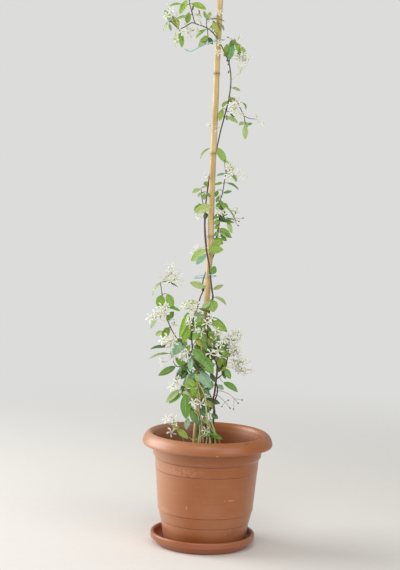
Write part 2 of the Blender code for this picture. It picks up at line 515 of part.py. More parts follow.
# Each spent stalk: the node it grows from, the spot on its stem, its route, and its side calyces.
SPENT = {
    "spent_stalk_upper": ("main_stem", (15.5, -6, 313), [
        (29, -9, 314), (45.5, -11, 309.5), (55, -12, 302.5), (62.5, -13, 295.5)],
        [(69.5, -14, 302), (54.5, -16, 283)]),
    "spent_stalk_lower": ("main_stem", (14, -6, 304), [
        (22, -10, 305), (30, -12, 298.5), (37, -14, 293.5), (46.5, -16, 284)],
        [(42.5, -18, 298), (31.5, -18, 285.5)]),
    "spent_calyces": ("second_stem", (12.5, 0, 656.5), [
        (26, -6, 662), (38, -8, 659.5), (50, -8, 656)],
        [(43, -10, 671), (49, -12, 648.5), (58, -8, 662.5)])}


# The shoots don't lie in one plane: beyond SWING_START from the middle, in each band of height, one
# side of the plant (-1 left, 1 right) runs to the front (negative share) or to the back (positive).
SWING_START = 30.0
SWING_BLEND = 10.0
SWINGS = ((403, 608, -1, -0.55), (345, 403, -1, 0.5), (150, 345, -1, -0.3), (806, 1200, -1, -0.45),
          (329, 568, 1, 0.7), (150, 329, 1, -0.5), (708, 767, 1, -0.5), (806, 910, 1, 0.5))


def swing(point):
    """A listed point, carried to the front or the back by its band's share."""
    x, y, z = point
    for low, high, side, share in SWINGS:
        rise = min(1.0, max(0.0, (z - low) / SWING_BLEND + 0.5))
        fall = min(1.0, max(0.0, (high - z) / SWING_BLEND + 0.5))
        y += share * max(0.0, side * x - SWING_START) * rise * fall
    return Vector((x, y, z))


def swung_routes(name):
    """A stem node's routes, with every point carried by swing."""
    return [(start, end, [swing(p) for p in route]) for start, end, route in STEMS[name][1]]


def side_of(direction, guide):
    """A unit direction square to the given one, as near to guide as that allows."""
    flat = guide - direction * guide.dot(direction)
    return flat.normalized()


def leaf_frames(row):
    """Centre, forward, upward and sideways directions at each station of a leaf's midrib."""
    x, y, z, aim, length, width, lean, arch, face = row
    aim, lean, arch, face = radians(aim), radians(lean), radians(arch), radians(face)
    chord = Vector((cos(aim) * cos(lean), -sin(lean), sin(aim) * cos(lean)))
    front = side_of(chord, Vector((0.0, -1.0, 0.0)))
    turn = -face if chord.cross(front).z < 0 else face
    up = Quaternion(chord, turn) @ front
    side = up.cross(chord)
    frames = []
    centre = swing((x, y, z))
    last = 0.0
    for share, broad in LEAF_STATIONS + ((1.0, 0.0),):
        middle = Quaternion(side, arch * (0.5 * (last + share) - 0.5))
        centre = centre + (middle @ chord) * length * (share - last)
        bend = Quaternion(side, arch * (share - 0.5))
        frames.append((centre.copy(), bend @ chord, bend @ up, side, 0.5 * width * broad))
        last = share
    return frames


def nearest_on(routes, point):
    """The nearest point to a given one on a node's routes, above the soil and short of the tips."""
    best = None
    for _, _, route in routes:
        spots = [Vector(p) for p in route]
        spots[-1] += (spots[-2] - spots[-1]).normalized() * TIP_INSET
        for a, b in zip(spots, spots[1:]):
            if b.z <= SOIL_TOP_Z + 8:
                continue
            share = max(0.0, min(1.0, (point - a).dot(b - a) / (b - a).length_squared))
            spot = a.lerp(b, share)
            if best is None or (spot - point).length < (best - point).length:
                best = spot
    return best


def leaf_mesh(name, row, routes):
    """One closed blade: a petiole from inside the stem, then a pointed blade with a keel below."""
    frames = leaf_frames(row)
    base, forward = frames[0][0], frames[0][1]
    root = nearest_on(routes, base)
    if (base - root).length < PETIOLE_LEAST:
        shift = root + forward * PETIOLE_LEAST - base
        frames = [(c + shift, f, u, s, w) for c, f, u, s, w in frames]
        base = frames[0][0]
    along = (base - root).normalized()
    up = side_of(along, frames[0][2])
    frames.insert(0, (root, along, up, up.cross(along), 0.0))
    form = bmesh.new()
    rings = []
    for centre, _, up, side, half in frames[:-1]:
        half = max(half, PETIOLE_RADIUS)
        keel = centre - up * max(LEAF_THICKNESS, LEAF_KEEL * half)
        ring = (centre + side * half, centre - side * half, keel)
        rings.append([form.verts.new(v * MM) for v in ring])
    for low, high in zip(rings, rings[1:]):
        for k in range(3):
            form.faces.new((low[k], low[(k + 1) % 3], high[(k + 1) % 3], high[k]))
    form.faces.new(rings[0])
    tip = form.verts.new(frames[-1][0] * MM)
    for k in range(3):
        form.faces.new((rings[-1][k], rings[-1][(k + 1) % 3], tip))
    bmesh.ops.triangulate(form, faces=form.faces)
    bmesh.ops.recalc_face_normals(form, faces=form.faces)
    mesh = bpy.data.meshes.new(name)
    form.to_mesh(mesh)
    form.free()
    return mesh


def taper(start, end, count):
    """Radii that run evenly from start to end."""
    return [start + (end - start) * i / (count - 1) for i in range(count)]


def make_leafy_node(name):
    """A stem with its branches and leaves, joined into one body."""
    finish, routes = STEMS[name][0], swung_routes(name)
    tubes = []
    for start, end, route in routes:
        tubes.append((route, taper(start, end, len(route))))
    base = tube(name, tubes[0][0], tubes[0][1], finish, plant)
    repeats = bpy.data.collections.new(name + "_parts")
    scene.collection.children.link(repeats)
    for i, (route, radii) in enumerate(tubes[1:]):
        tube(f"{name}_branch_{i}", route, radii, None, repeats, 0)
    for i, row in enumerate(LEAVES[name]):
        mesh_object(f"{name}_leaf_{i}", leaf_mesh(f"{name}_leaf_{i}", row, routes), None, repeats)
    join_all(base, repeats)
    return base


def ring_round(form, middle, ahead, guide, radius, count=5):
    """A ring of vertices round a point, square to the way ahead."""
    up = side_of(ahead, guide)
    side = ahead.cross(up)
    angles = [k * 2 * pi / count for k in range(count)]
    return [form.verts.new((middle + (up * cos(a) + side * sin(a)) * radius) * MM) for a in angles]


def blossom_mesh(name, line, centre, facing):
    """One closed blossom: a five-sided stalk along a line, which opens into a pinwheel of petals."""
    facing = facing.normalized()
    across = side_of(facing, Vector((0.3, 0.0, 1.0)))
    beside = facing.cross(across)
    form = bmesh.new()
    rings = []
    radii = taper(STALK_RADIUS if len(line) > 1 else PEDICEL_RADIUS, PEDICEL_RADIUS, max(2, len(line)))
    for i, point in enumerate(line):
        ahead = ((line + [centre])[i + 1] - point).normalized()
        rings.append(ring_round(form, point, ahead, across, radii[i]))
    rings.append(ring_round(form, centre - facing * STAR_DEPTH, facing, across, TUBE_RADIUS))
    waist = ring_round(form, centre, facing, across, STAR_WAIST)
    throat = rings[-1]
    for low, high in zip(rings, rings[1:]):
        for k in range(5):
            j = (k + 1) % 5
            form.faces.new((low[k], low[j], high[j], high[k]))
    form.faces.new(waist)
    form.faces.new(rings[0])
    for k in range(5):
        j = (k + 1) % 5
        angle = (k + 0.5) * 2 * pi / 5 + STAR_TWIST
        reach = (across * cos(angle) + beside * sin(angle)) * STAR_RADIUS
        tip = form.verts.new((centre + reach - facing * STAR_DROOP) * MM)
        form.faces.new((waist[k], waist[j], tip))
        form.faces.new((throat[k], throat[j], tip))
        form.faces.new((waist[k], throat[k], tip))
        form.faces.new((waist[j], throat[j], tip))
    bmesh.ops.triangulate(form, faces=form.faces)
    bmesh.ops.recalc_face_normals(form, faces=form.faces)
    mesh = bpy.data.meshes.new(name)
    form.to_mesh(mesh)
    form.free()
    return mesh


def rod_mesh(name, points, radii, sides=4):
    """A thin closed rod through points, with a few flat sides."""
    form = bmesh.new()
    rings = []
    up = None
    for i, point in enumerate(points):
        ahead = points[min(i + 1, len(points) - 1)] - points[max(i - 1, 0)]
        ahead.normalize()
        guide = up if up else ahead.orthogonal()
        up = side_of(ahead, guide)
        side = ahead.cross(up)
        ring = []
        for k in range(sides):
            angle = 2 * pi * k / sides
            spot = point + (up * cos(angle) + side * sin(angle)) * radii[i]
            ring.append(form.verts.new(spot * MM))
        rings.append(ring)
    for low, high in zip(rings, rings[1:]):
        for k in range(sides):
            form.faces.new((low[k], low[(k + 1) % sides], high[(k + 1) % sides], high[k]))
    form.faces.new(rings[0])
    form.faces.new(rings[-1])
    bmesh.ops.recalc_face_normals(form, faces=form.faces)
    bmesh.ops.triangulate(form, faces=form.faces)
    mesh = bpy.data.meshes.new(name)
    form.to_mesh(mesh)
    form.free()
    return mesh


def seat_on(parent, towards, root, radius):
    """Where a stalk that comes from towards meets the parent's bare stem, a small gap short of it."""
    form = bmesh.new()
    for start, end, route in swung_routes(parent):
        radii = taper(start, end, len(route))
        piece = rod_mesh("probe", [Vector(p) for p in route], radii, 12)
        form.from_mesh(piece)
        bpy.data.meshes.remove(piece)
    tree = BVHTree.FromBMesh(form)
    form.free()
    way = (root - towards).normalized()
    spot, normal, _, _ = tree.ray_cast(towards * MM, way)
    if spot is None:
        return root
    slant = max(0.4, abs(normal.dot(way)))
    gap = (GAP + radius * (1 - slant ** 2) ** 0.5) / slant
    return spot / MM - way * gap


def facing_of(hub, centre):
    """Blossoms turn outwards from their hub, and towards the front and the light above."""
    return (centre - hub).normalized() * 0.7 + Vector((-0.12, -0.6, 0.25))


def make_spray(name):
    """A spray: stalk, pedicels with corolla tubes, and stars, joined into one body."""
    parent, root, hub, centres = SPRAYS[name]
    root, hub = swing(root), swing(hub)
    start = seat_on(parent, hub, root, STALK_RADIUS)
    centres = [swing(c) for c in centres]
    first = blossom_mesh(name, [start, hub], centres[0], facing_of(hub, centres[0]))
    base = mesh_object(name, first, PETAL_WHITE, plant)
    repeats = bpy.data.collections.new(name + "_parts")
    scene.collection.children.link(repeats)
    for i, centre in enumerate(centres[1:]):
        fork = hub.lerp(start, FORK_SPREAD * (i + 0.5) / len(centres))
        blossom = blossom_mesh(f"{name}_blossom_{i}", [fork], centre, facing_of(hub, centre))
        mesh_object(f"{name}_blossom_{i}", blossom, None, repeats)
    join_all(base, repeats)
    return base


def make_spent(name):
    """A bare flower stalk with small open calyces left on it."""
    parent, root, route, calyces = SPENT[name]
    route = [swing(p) for p in route]
    start = seat_on(parent, route[0], swing(root), STALK_RADIUS)
    line = [start] + route
    base = mesh_object(name, rod_mesh(name, line, taper(0.7, 0.5, len(line))), SPENT_BROWN, plant)
    repeats = bpy.data.collections.new(name + "_parts")
    scene.collection.children.link(repeats)
    ends = [(route[-1], route[-1] - route[-2])]
    for i, place in enumerate(calyces):
        place = swing(place)
        fork = min(route[:-1], key=lambda p: (p - place).length)
        twig = rod_mesh(f"{name}_twig_{i}", [fork, place], [0.45, 0.5])
        mesh_object(f"{name}_twig_{i}", twig, None, repeats)
        ends.append((place, place - fork))
    for i, (place, way) in enumerate(ends):
        way = way.normalized()
        cup = rod_mesh(f"{name}_cup_{i}", [place - way, place + way * 3], [0.7, 1.9], 5)
        mesh_object(f"{name}_cup_{i}", cup, None, repeats)
    join_all(base, repeats)
    return base


def make_soil():
    """Soil that fills the pot, with plain holes for the cane and for each stem that stands in it."""
    profile = [(0.0, SOIL_TOP_Z + 1.0), (90.0, SOIL_TOP_Z - 1.0), (106.0, SOIL_TOP_Z - 4.0),
               (100.8, 176.0), (99.8, 154.0), (86.0, 50.0),
               (78.1, SOIL_BOTTOM_Z), (0.0, SOIL_BOTTOM_Z)]
    soil = turned("soil", profile, POT_STEPS, POT_CENTRE_X, SOIL, plant)
    low, high = Vector(CANE_ROUTE[0]), Vector(CANE_ROUTE[1])
    ahead = (high - low).normalized()
    radius = CANE_RADIUS + CANE_HOLE_EXTRA
    cane_hole = tube("cane_cutter", [low - ahead, high + ahead * 14], [radius] * 2, None, cutters, 2)
    cut(soil, cane_hole)
    for name, (_, routes) in STEMS.items():
        first_radius, _, route = routes[0]
        if route[0][2] < SOIL_TOP_Z:
            x, y, low = swing(route[0])
            hole = cylinder(f"{name}_cutter", first_radius + STEM_HOLE_EXTRA, low - 0.5,
                            SOIL_TOP_Z + 8, (x, y), 8, cutters)
            cut(soil, hole)
    return soil


make_pot()
make_saucer()
make_soil()
make_cane()
make_ties()
for stem_name in STEMS:
    make_leafy_node(stem_name)
for spray_name in SPRAYS:
    make_spray(spray_name)
for spent_name in SPENT:
    make_spent(spent_name)
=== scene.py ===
from math import radians

import bmesh
import bpy
import numpy as np
from mathutils import Matrix, Vector


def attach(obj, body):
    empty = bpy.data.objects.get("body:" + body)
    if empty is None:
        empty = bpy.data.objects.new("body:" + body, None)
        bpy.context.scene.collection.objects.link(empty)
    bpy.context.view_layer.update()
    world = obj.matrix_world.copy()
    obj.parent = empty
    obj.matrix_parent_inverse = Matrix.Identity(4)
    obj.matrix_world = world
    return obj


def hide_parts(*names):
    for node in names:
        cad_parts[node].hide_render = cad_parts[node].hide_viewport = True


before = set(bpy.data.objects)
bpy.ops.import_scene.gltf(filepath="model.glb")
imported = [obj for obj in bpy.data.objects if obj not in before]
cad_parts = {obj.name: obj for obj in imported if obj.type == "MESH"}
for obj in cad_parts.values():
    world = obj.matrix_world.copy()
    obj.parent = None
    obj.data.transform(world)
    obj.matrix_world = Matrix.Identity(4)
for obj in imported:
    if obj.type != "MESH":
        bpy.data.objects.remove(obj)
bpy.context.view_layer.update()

# Saucer
# A shallow dish of moulded terracotta-coloured plastic, with a flat floor, a sloping wall and a band
# rim. It stands on the ground, catches the drips and carries the pot.
SAUCER_OUTLINE = [  # radius, height and how far the corner is rounded
    (2.0, 3.0, 0.0), (40.0, 3.0, 1.0), (88.5, 3.0, 3.0), (93.5, 6.0, 2.5), (97.2, 13.0, 2.0),
    (98.6, 23.4, 1.4), (100.6, 25.2, 1.2), (103.6, 25.2, 1.2), (105.4, 23.0, 1.4), (105.4, 14.2, 1.2),
    (103.4, 12.2, 1.0), (100.0, 12.0, 1.0), (97.0, 5.0, 2.0), (93.5, 1.0, 2.0), (91.0, 0.0, 1.0),
    (2.0, 0.0, 0.0)]
CORNER_MOST = 0.48
CORNER_STEPS = 5
SAUCER_STEPS = 144
SHARP_FROM = 50
SAUCER_COLOUR = (156, 86, 44)
SAUCER_FADED = (190, 128, 98)
SAUCER_SCUFFS = 0.5
MOULD_SPECKS = (0.05, 0.02, 0.01, 1)
MOULD_RELIEF = 0.00012
MILLIMETRE = 0.001
PATCHES = (0.35, 0.7)  # a noise's grey values where its patches begin and are full


def turns(count):
    """Even turns of one full circle, in radians."""
    return np.arange(count) * 2 * np.pi / count


def bowed(start, middle, end, t):
    """A bent line that sets out towards the middle place and arrives from it: at a share t it is
    (1-t) squared of the start, 2t(1-t) of the middle and t squared of the end."""
    return (1 - t) ** 2 * start + 2 * t * (1 - t) * middle + t ** 2 * end


def rounded(outline):
    """An outline with its corners rounded: each corner becomes a parabola that leaves its two sides
    at the corner's own distance, but never past CORNER_MOST of a side."""
    corners = np.array(outline, float)
    spots, reach = corners[:, :2], corners[:, 2:]

    def towards(others):
        way = others - spots
        size = np.maximum(np.linalg.norm(way, axis=1, keepdims=True), 1e-6)
        return (spots + way * np.minimum(reach / size, CORNER_MOST))[:, None]

    t = np.linspace(0.0, 1.0, CORNER_STEPS)[None, :, None]
    curve = bowed(towards(np.roll(spots, 1, 0)), spots[:, None], towards(np.roll(spots, -1, 0)), t)
    keep = np.ones((len(spots), CORNER_STEPS), bool)
    keep[reach[:, 0] == 0.0, 1:] = False
    return curve[keep]


def spun(outline, steps, centre_x=0.0):
    """A turned grid: the outline's radius and height carried round a full turn in equal steps."""
    angle = turns(steps)
    radius, height = outline[:, 0, None], outline[:, 1, None] + 0.0 * angle
    return np.stack([centre_x + radius * np.cos(angle), radius * np.sin(angle), height], -1)


def grid_faces(rings, around, closed=False, first=0):
    """Quads between the rings of a grid whose rings close on themselves. A closed grid joins its last
    ring to its first; an open one gets a cap at each end."""
    index = first + np.arange(rings * around).reshape(rings, around)
    low, high = (index, np.roll(index, -1, 0)) if closed else (index[:-1], index[1:])
    quads = np.stack([low, np.roll(low, -1, 1), np.roll(high, -1, 1), high], -1).reshape(-1, 4)
    caps = [] if closed else [index[0, ::-1].tolist(), index[-1].tolist()]
    return quads.tolist() + caps


def piece(name, spots, faces, finish, nodes=(), attributes=None, sharp=None):
    """A mesh object at the origin from places in millimetres. Its faces are turned outwards, it is
    shaded smooth, rides on the one body and stands for the given CAD nodes."""
    mesh = bpy.data.meshes.new(name)
    mesh.from_pydata((np.reshape(spots, (-1, 3)) * MILLIMETRE).tolist(), [], faces)
    for label, values in (attributes or {}).items():
        kind = "FLOAT_COLOR" if np.ndim(values) > 1 else "FLOAT"
        layer = mesh.attributes.new(label, kind, "POINT")
        layer.data.foreach_set("color" if kind == "FLOAT_COLOR" else "value", np.ravel(values))
    form = bmesh.new()
    form.from_mesh(mesh)
    bmesh.ops.recalc_face_normals(form, faces=form.faces)
    form.to_mesh(mesh)
    form.free()
    mesh.shade_smooth()
    if sharp:
        mesh.set_sharp_from_angle(angle=radians(sharp))
    mesh.materials.append(finish)
    made = bpy.data.objects.new(name, mesh)
    bpy.context.scene.collection.objects.link(made)
    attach(made, "root")
    if nodes:
        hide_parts(*nodes)
    return made


def paint(red, green, blue):
    """A linear colour from screen values of 0 to 255: a power of 2.4 above the short straight foot."""
    share = np.array([red, green, blue]) / 255
    return (*np.where(share > 0.04, ((share + 0.055) / 1.055) ** 2.4, share / 12.92), 1.0)


def add(tree, kind, inputs=None, **settings):
    """A shader node with its settings. An input that is a socket is linked; any other is its value."""
    made = tree.nodes.new("ShaderNode" + kind)
    for label, value in settings.items():
        setattr(made, label, value)
    for label, value in (inputs or {}).items():
        if isinstance(value, bpy.types.NodeSocket):
            tree.links.new(value, made.inputs[label])
        else:
            made.inputs[label].default_value = value
    return made


def mixed(tree, share, first, second, blend="MIX"):
    """A colour mix of two sockets or colours by a share."""
    made = add(tree, "Mix", {0: share, 6: first, 7: second}, data_type="RGBA", blend_type=blend)
    return made.outputs[2]


def counted(tree, operation, first, second=0.0, third=0.0):
    """One step of arithmetic on sockets or numbers."""
    return add(tree, "Math", {0: first, 1: second, 2: third}, operation=operation).outputs[0]


def times(tree, first, second):
    """The product of two sockets or numbers."""
    return counted(tree, "MULTIPLY", first, second)


def plus(tree, first, second):
    """The sum of two sockets or numbers."""
    return counted(tree, "ADD", first, second)


def spread(tree, value, low, high, out_low=0.0, out_high=1.0):
    """A value between low and high, spread smoothly from out_low to out_high."""
    inputs = {"Value": value, "From Min": low, "From Max": high, "To Min": out_low, "To Max": out_high}
    return add(tree, "MapRange", inputs, interpolation_type="SMOOTHSTEP").outputs[0]


def own_places(tree):
    """The Object coordinates."""
    return add(tree, "TexCoord").outputs["Object"]


def mapped(tree, places, **how):
    """Places moved, turned or scaled."""
    return add(tree, "Mapping", {"Vector": places, **how}).outputs[0]


def noise(tree, places, scale, detail=2.0, roughness=0.5):
    """The grey value of a noise texture of a scale, detail and roughness."""
    inputs = {"Vector": places, "Scale": scale, "Detail": detail, "Roughness": roughness}
    return add(tree, "TexNoise", inputs).outputs[0]


def new_group(name, inputs, outputs):
    """An empty node group whose inputs and outputs each have a label and a kind."""
    tree = bpy.data.node_groups.new(name, "ShaderNodeTree")
    for way, sockets in (("INPUT", inputs), ("OUTPUT", outputs)):
        for label, kind in sockets.items():
            tree.interface.new_socket(label, in_out=way, socket_type="NodeSocket" + kind)
    return tree, tree.nodes.new("NodeGroupInput").outputs


def give_out(tree, sockets):
    """Link sockets to the group's outputs by their labels, which finishes the group."""
    out = tree.nodes.new("NodeGroupOutput")
    for label, socket in sockets.items():
        tree.links.new(socket, out.inputs[label])
    return tree


def grouped(tree, group, **values):
    """The outputs of a node group that is laid on Object coordinates with its own values."""
    made = tree.nodes.new("ShaderNodeGroup")
    made.node_tree = group
    tree.links.new(own_places(tree), made.inputs["Vector"])
    for label, value in values.items():
        made.inputs[label].default_value = value
    return made.outputs


def finish_of(name, **plain):
    """A material with a Principled shader, whose plain values are set on its own sockets."""
    made = bpy.data.materials.new(name)
    made.use_nodes = True
    shader = made.node_tree.nodes["Principled BSDF"]
    for label, value in plain.items():
        shader.inputs[label.replace("_", " ")].default_value = value
    return made, made.node_tree, shader


def feed(tree, shader, label, socket):
    """Link a socket to one of the shader's inputs."""
    tree.links.new(socket, shader.inputs[label])


def dress(tree, shader, colour, height, relief, rough=None):
    """Feed the shader its colour, its normal through a bump of the height, as deep as the relief in
    metres, and its roughness where that isn't plain."""
    feed(tree, shader, "Base Color", colour)
    feed(tree, shader, "Normal", add(tree, "Bump", {"Height": height, "Distance": relief}).outputs[0])
    if rough:
        feed(tree, shader, "Roughness", rough)


def moulded_group():
    """Moulded plastic: cloudy colour, faint rings left by the mould, dust and short pale scuffs."""
    tree, given = new_group(
        "Moulded plastic",
        {"Colour": "Color", "Faded": "Color", "Scuffs": "Float", "Vector": "Vector"},
        {"Colour": "Color", "Roughness": "Float", "Height": "Float"})
    where = given["Vector"]
    cloud = noise(tree, where, 9.0, 3.0)
    speckle = noise(tree, where, 700.0, 1.0)
    rings = noise(tree, mapped(tree, where, Scale=(8.0, 8.0, 260.0)), 1.0, 2.0)
    strokes = mapped(tree, where, Rotation=(0.0, 0.5, 0.3), Scale=(30.0, 30.0, 300.0))
    scratch = noise(tree, strokes, 1.6, 3.0, 0.6)
    patch = noise(tree, where, 14.0, 1.0)
    scuff = times(tree, spread(tree, scratch, 0.62, 0.72), spread(tree, patch, 0.5, 0.66))
    scuff = times(tree, scuff, given["Scuffs"])
    colour = mixed(tree, spread(tree, cloud, *PATCHES, 0.0, 0.16), given["Colour"], given["Faded"])
    colour = mixed(tree, spread(tree, rings, 0.4, 0.7, 0.0, 0.03), colour, given["Faded"])
    colour = mixed(tree, spread(tree, speckle, 0.3, 0.7, 0.0, 0.1), colour, MOULD_SPECKS)
    colour = mixed(tree, times(tree, scuff, 0.55), colour, given["Faded"])
    rough = plus(tree, spread(tree, cloud, 0.3, 0.7, 0.3, 0.42), times(tree, scuff, 0.25))
    height = plus(tree, times(tree, speckle, 0.25), times(tree, rings, 0.12))
    return give_out(tree, {"Colour": colour, "Roughness": rough, "Height": height})


def moulded_finish(name, colour, faded, scuffs):
    """Terracotta-coloured plastic: the moulded plastic group under a thin dull gloss."""
    made, tree, shader = finish_of(name, Coat_Weight=0.3, Coat_Roughness=0.42)
    given = grouped(tree, MOULDED, Colour=paint(*colour), Faded=paint(*faded), Scuffs=scuffs)
    dress(tree, shader, given["Colour"], given["Height"], MOULD_RELIEF, given["Roughness"])
    return made


MOULDED = moulded_group()
SAUCER_PLASTIC = moulded_finish("saucer_plastic", SAUCER_COLOUR, SAUCER_FADED, SAUCER_SCUFFS)
saucer_grid = spun(rounded(SAUCER_OUTLINE), SAUCER_STEPS)
piece("saucer_dish", saucer_grid, grid_faces(*saucer_grid.shape[:2]), SAUCER_PLASTIC,
      ["saucer"], sharp=SHARP_FROM)

# Pot
# A round pot of the same plastic, blown thin over a mould: a rolled rim, a collar and three stepped
# bands, a foot that stands in the saucer, and drainage holes in its floor.
POT_CENTRE_X = 4.0
POT_OUTLINE = [  # radius, height and how far the corner is rounded; down outside, then up inside
    (113.8, 226.6, 2.5), (118.5, 228.5, 3.0), (127.0, 222.0, 7.0), (131.5, 210.0, 6.0),
    (131.2, 205.5, 1.5), (129.6, 203.6, 0.8), (110.0, 203.0, 1.0), (109.4, 182.5, 2.0),
    (104.6, 176.0, 1.4), (103.6, 155.0, 0.9), (102.8, 153.8, 1.2), (96.2, 72.0, 0.8),
    (94.9, 71.0, 0.9), (90.0, 50.0, 0.8), (89.3, 49.0, 0.9), (82.0, 3.3, 1.4), (77.5, 3.3, 1.0),
    (77.0, 6.0, 0.8), (6.0, 6.0, 0.5), (6.0, 8.8, 0.5), (78.5, 8.8, 2.0), (86.4, 50.0, 2.0),
    (92.4, 72.0, 2.0), (100.2, 154.0, 3.0), (101.2, 176.0, 2.0), (106.2, 183.0, 2.5), (107.6, 203.0, 5.0),
    (110.4, 222.0, 3.0)]
POT_STEPS = 168
DRAIN_RADIUS = 6.0
DRAIN_RING = 48.0
DRAIN_COUNT = 4
DRAIN_STEPS = 20
DRAIN_CUT = (0.0, 16.0)
POT_COLOUR = (162, 91, 38)
POT_FADE_AND_SHEEN = (212, 162, 134)
POT_SCUFFS = 0.6
# Painted shade, laid along the moulded steps and on the inner wall above the soil.
POT_PAINTED_SHADE = (88, 46, 30)
LINE_HEIGHTS = (176.4, 154.2, 71.4, 49.4)
LINE_REACH = (0.0003, 0.0015)
# Painted shade on the inner wall above the soil, fading out towards the lip.
INNER_SHADE_SHARE = 0.3
INNER_SHADE_RADIUS = (0.1083, 0.109)
INNER_SHADE_FROM = (0.184, 0.188)
# The left side is painted paler: a painted sheen of the light from the left.
LEFT_SHEEN_SHARE = 0.5
LEFT_SHEEN_X = (-0.105, -0.012)
POT_MARKS = [  # x, z, half width, half height, strength and colour
    (53, 109, 15, 2.6, 0.6, (206, 150, 120)), (28, 203.5, 3, 3.5, 1.0, (226, 190, 150)),
    (-40, 164, 50, 13, 0.32, (206, 152, 124)), (-30, 92, 1.6, 5, 0.7, (206, 152, 124)),
    (84, 226, 5, 3, 0.8, (96, 50, 32)), (-74, 78, 16, 9, 0.4, (206, 152, 124)),
    (60, 40, 26, 14, 0.35, (120, 66, 44))]


def many_faces(count, rings, around):
    """The faces of so many capped grids of one size whose places follow one another."""
    each = rings * around
    return [face for i in range(count) for face in grid_faces(rings, around, first=i * each)]


def pierce(target, spots, radius, low, high):
    """Cut upright round holes through a mesh object, and keep the result as its mesh."""
    angle = turns(DRAIN_STEPS)
    disc = np.stack([np.cos(angle), np.sin(angle)], -1) * radius
    rings = np.array([[[*(spot + corner), z] for corner in disc] for spot in spots for z in (low, high)])
    tool = bpy.data.meshes.new("drill")
    corners = (rings.reshape(-1, 3) * MILLIMETRE).tolist()
    tool.from_pydata(corners, [], many_faces(len(spots), 2, DRAIN_STEPS))
    drill = bpy.data.objects.new("drill", tool)
    bpy.context.scene.collection.objects.link(drill)
    step = target.modifiers.new("holes", "BOOLEAN")
    step.operation, step.object = "DIFFERENCE", drill
    ready = target.evaluated_get(bpy.context.evaluated_depsgraph_get())
    cut = bpy.data.meshes.new_from_object(ready)
    target.modifiers.clear()
    target.data = cut
    bpy.data.objects.remove(drill, do_unlink=True)


def pot_wear_and_painted_light(finish):
    """Wear and painted light laid over the plastic's colour. The left side is painted paler towards -X,
    a painted sheen of the light from the left. Painted shade darkens the moulded steps, by the Object
    Z's distance from each line, broken up by noise. Painted shade darkens the inner wall above the soil,
    within a radius. Each mark is an ellipse about a place (x, z) on the front, whole at its middle and
    gone at its half width and height."""
    tree = finish.node_tree
    shader = tree.nodes["Principled BSDF"]
    where = own_places(tree)
    across, deep, height = add(tree, "SeparateXYZ", {0: where}).outputs
    plain = shader.inputs["Base Color"].links[0].from_socket
    # Painted sheen: paler towards -X, where the light from the left falls.
    painted_left_sheen = times(tree, spread(tree, across, *LEFT_SHEEN_X, LEFT_SHEEN_SHARE, 0.0),
                  spread(tree, noise(tree, where, 14.0, 3.0), 0.2, 0.7, 0.7, 1.0))
    plain = mixed(tree, painted_left_sheen, plain, paint(*POT_FADE_AND_SHEEN))
    near = 1.0
    # Painted shade along the moulded steps, which face down.
    for line in LINE_HEIGHTS:
        gap = counted(tree, "ABSOLUTE", counted(tree, "SUBTRACT", height, line * MILLIMETRE))
        near = counted(tree, "MINIMUM", near, gap)
    broken = spread(tree, noise(tree, where, 40.0, 3.0), 0.25, 0.6, 0.25, 0.7)
    broken = times(tree, broken, spread(tree, height, 0.08, 0.14, 0.5, 1.0))
    painted_step_shade = times(tree, spread(tree, near, *LINE_REACH, 1.0, 0.0), broken)
    colour = mixed(tree, painted_step_shade, plain, paint(*POT_PAINTED_SHADE))
    flat = mapped(tree, where, Location=(-MILLIMETRE * POT_CENTRE_X, 0.0, 0.0), Scale=(1.0, 1.0, 0.0))
    radius = add(tree, "VectorMath", {0: flat}, operation="LENGTH").outputs["Value"]
    # Painted shade inside the pot: the inner wall above the soil is darkened.
    inside = times(tree, spread(tree, radius, *INNER_SHADE_RADIUS, INNER_SHADE_SHARE, 0.0),
                   spread(tree, height, *INNER_SHADE_FROM))
    colour = mixed(tree, inside, colour, paint(*POT_PAINTED_SHADE))
    ragged = spread(tree, noise(tree, where, 160.0, 3.0), 0.35, 0.55)
    front = counted(tree, "LESS_THAN", deep, 0.0)
    for x, z, wide, high, amount, tone in POT_MARKS:
        oval = mapped(tree, where, Location=(-x / wide, 0.0, -z / high),
                      Scale=(1000 / wide, 0.0, 1000 / high))
        far = add(tree, "VectorMath", {0: oval}, operation="LENGTH").outputs["Value"]
        share = times(tree, spread(tree, far, 0.3, 1.0, amount, 0.0), ragged)
        colour = mixed(tree, times(tree, share, front), colour, paint(*tone))
    feed(tree, shader, "Base Color", colour)


POT_PLASTIC = moulded_finish("pot_plastic", POT_COLOUR, POT_FADE_AND_SHEEN, POT_SCUFFS)
pot_wear_and_painted_light(POT_PLASTIC)
pot_grid = spun(rounded(POT_OUTLINE), POT_STEPS, POT_CENTRE_X)
pot = piece("pot_shell", pot_grid, grid_faces(*pot_grid.shape[:2], closed=True), POT_PLASTIC,
            ["pot"], sharp=SHARP_FROM)
drain_turn = turns(DRAIN_COUNT) + np.pi / DRAIN_COUNT
drains = np.stack([POT_CENTRE_X + DRAIN_RING * np.cos(drain_turn), DRAIN_RING * np.sin(drain_turn)], -1)
pierce(pot, drains, DRAIN_RADIUS, *DRAIN_CUT)

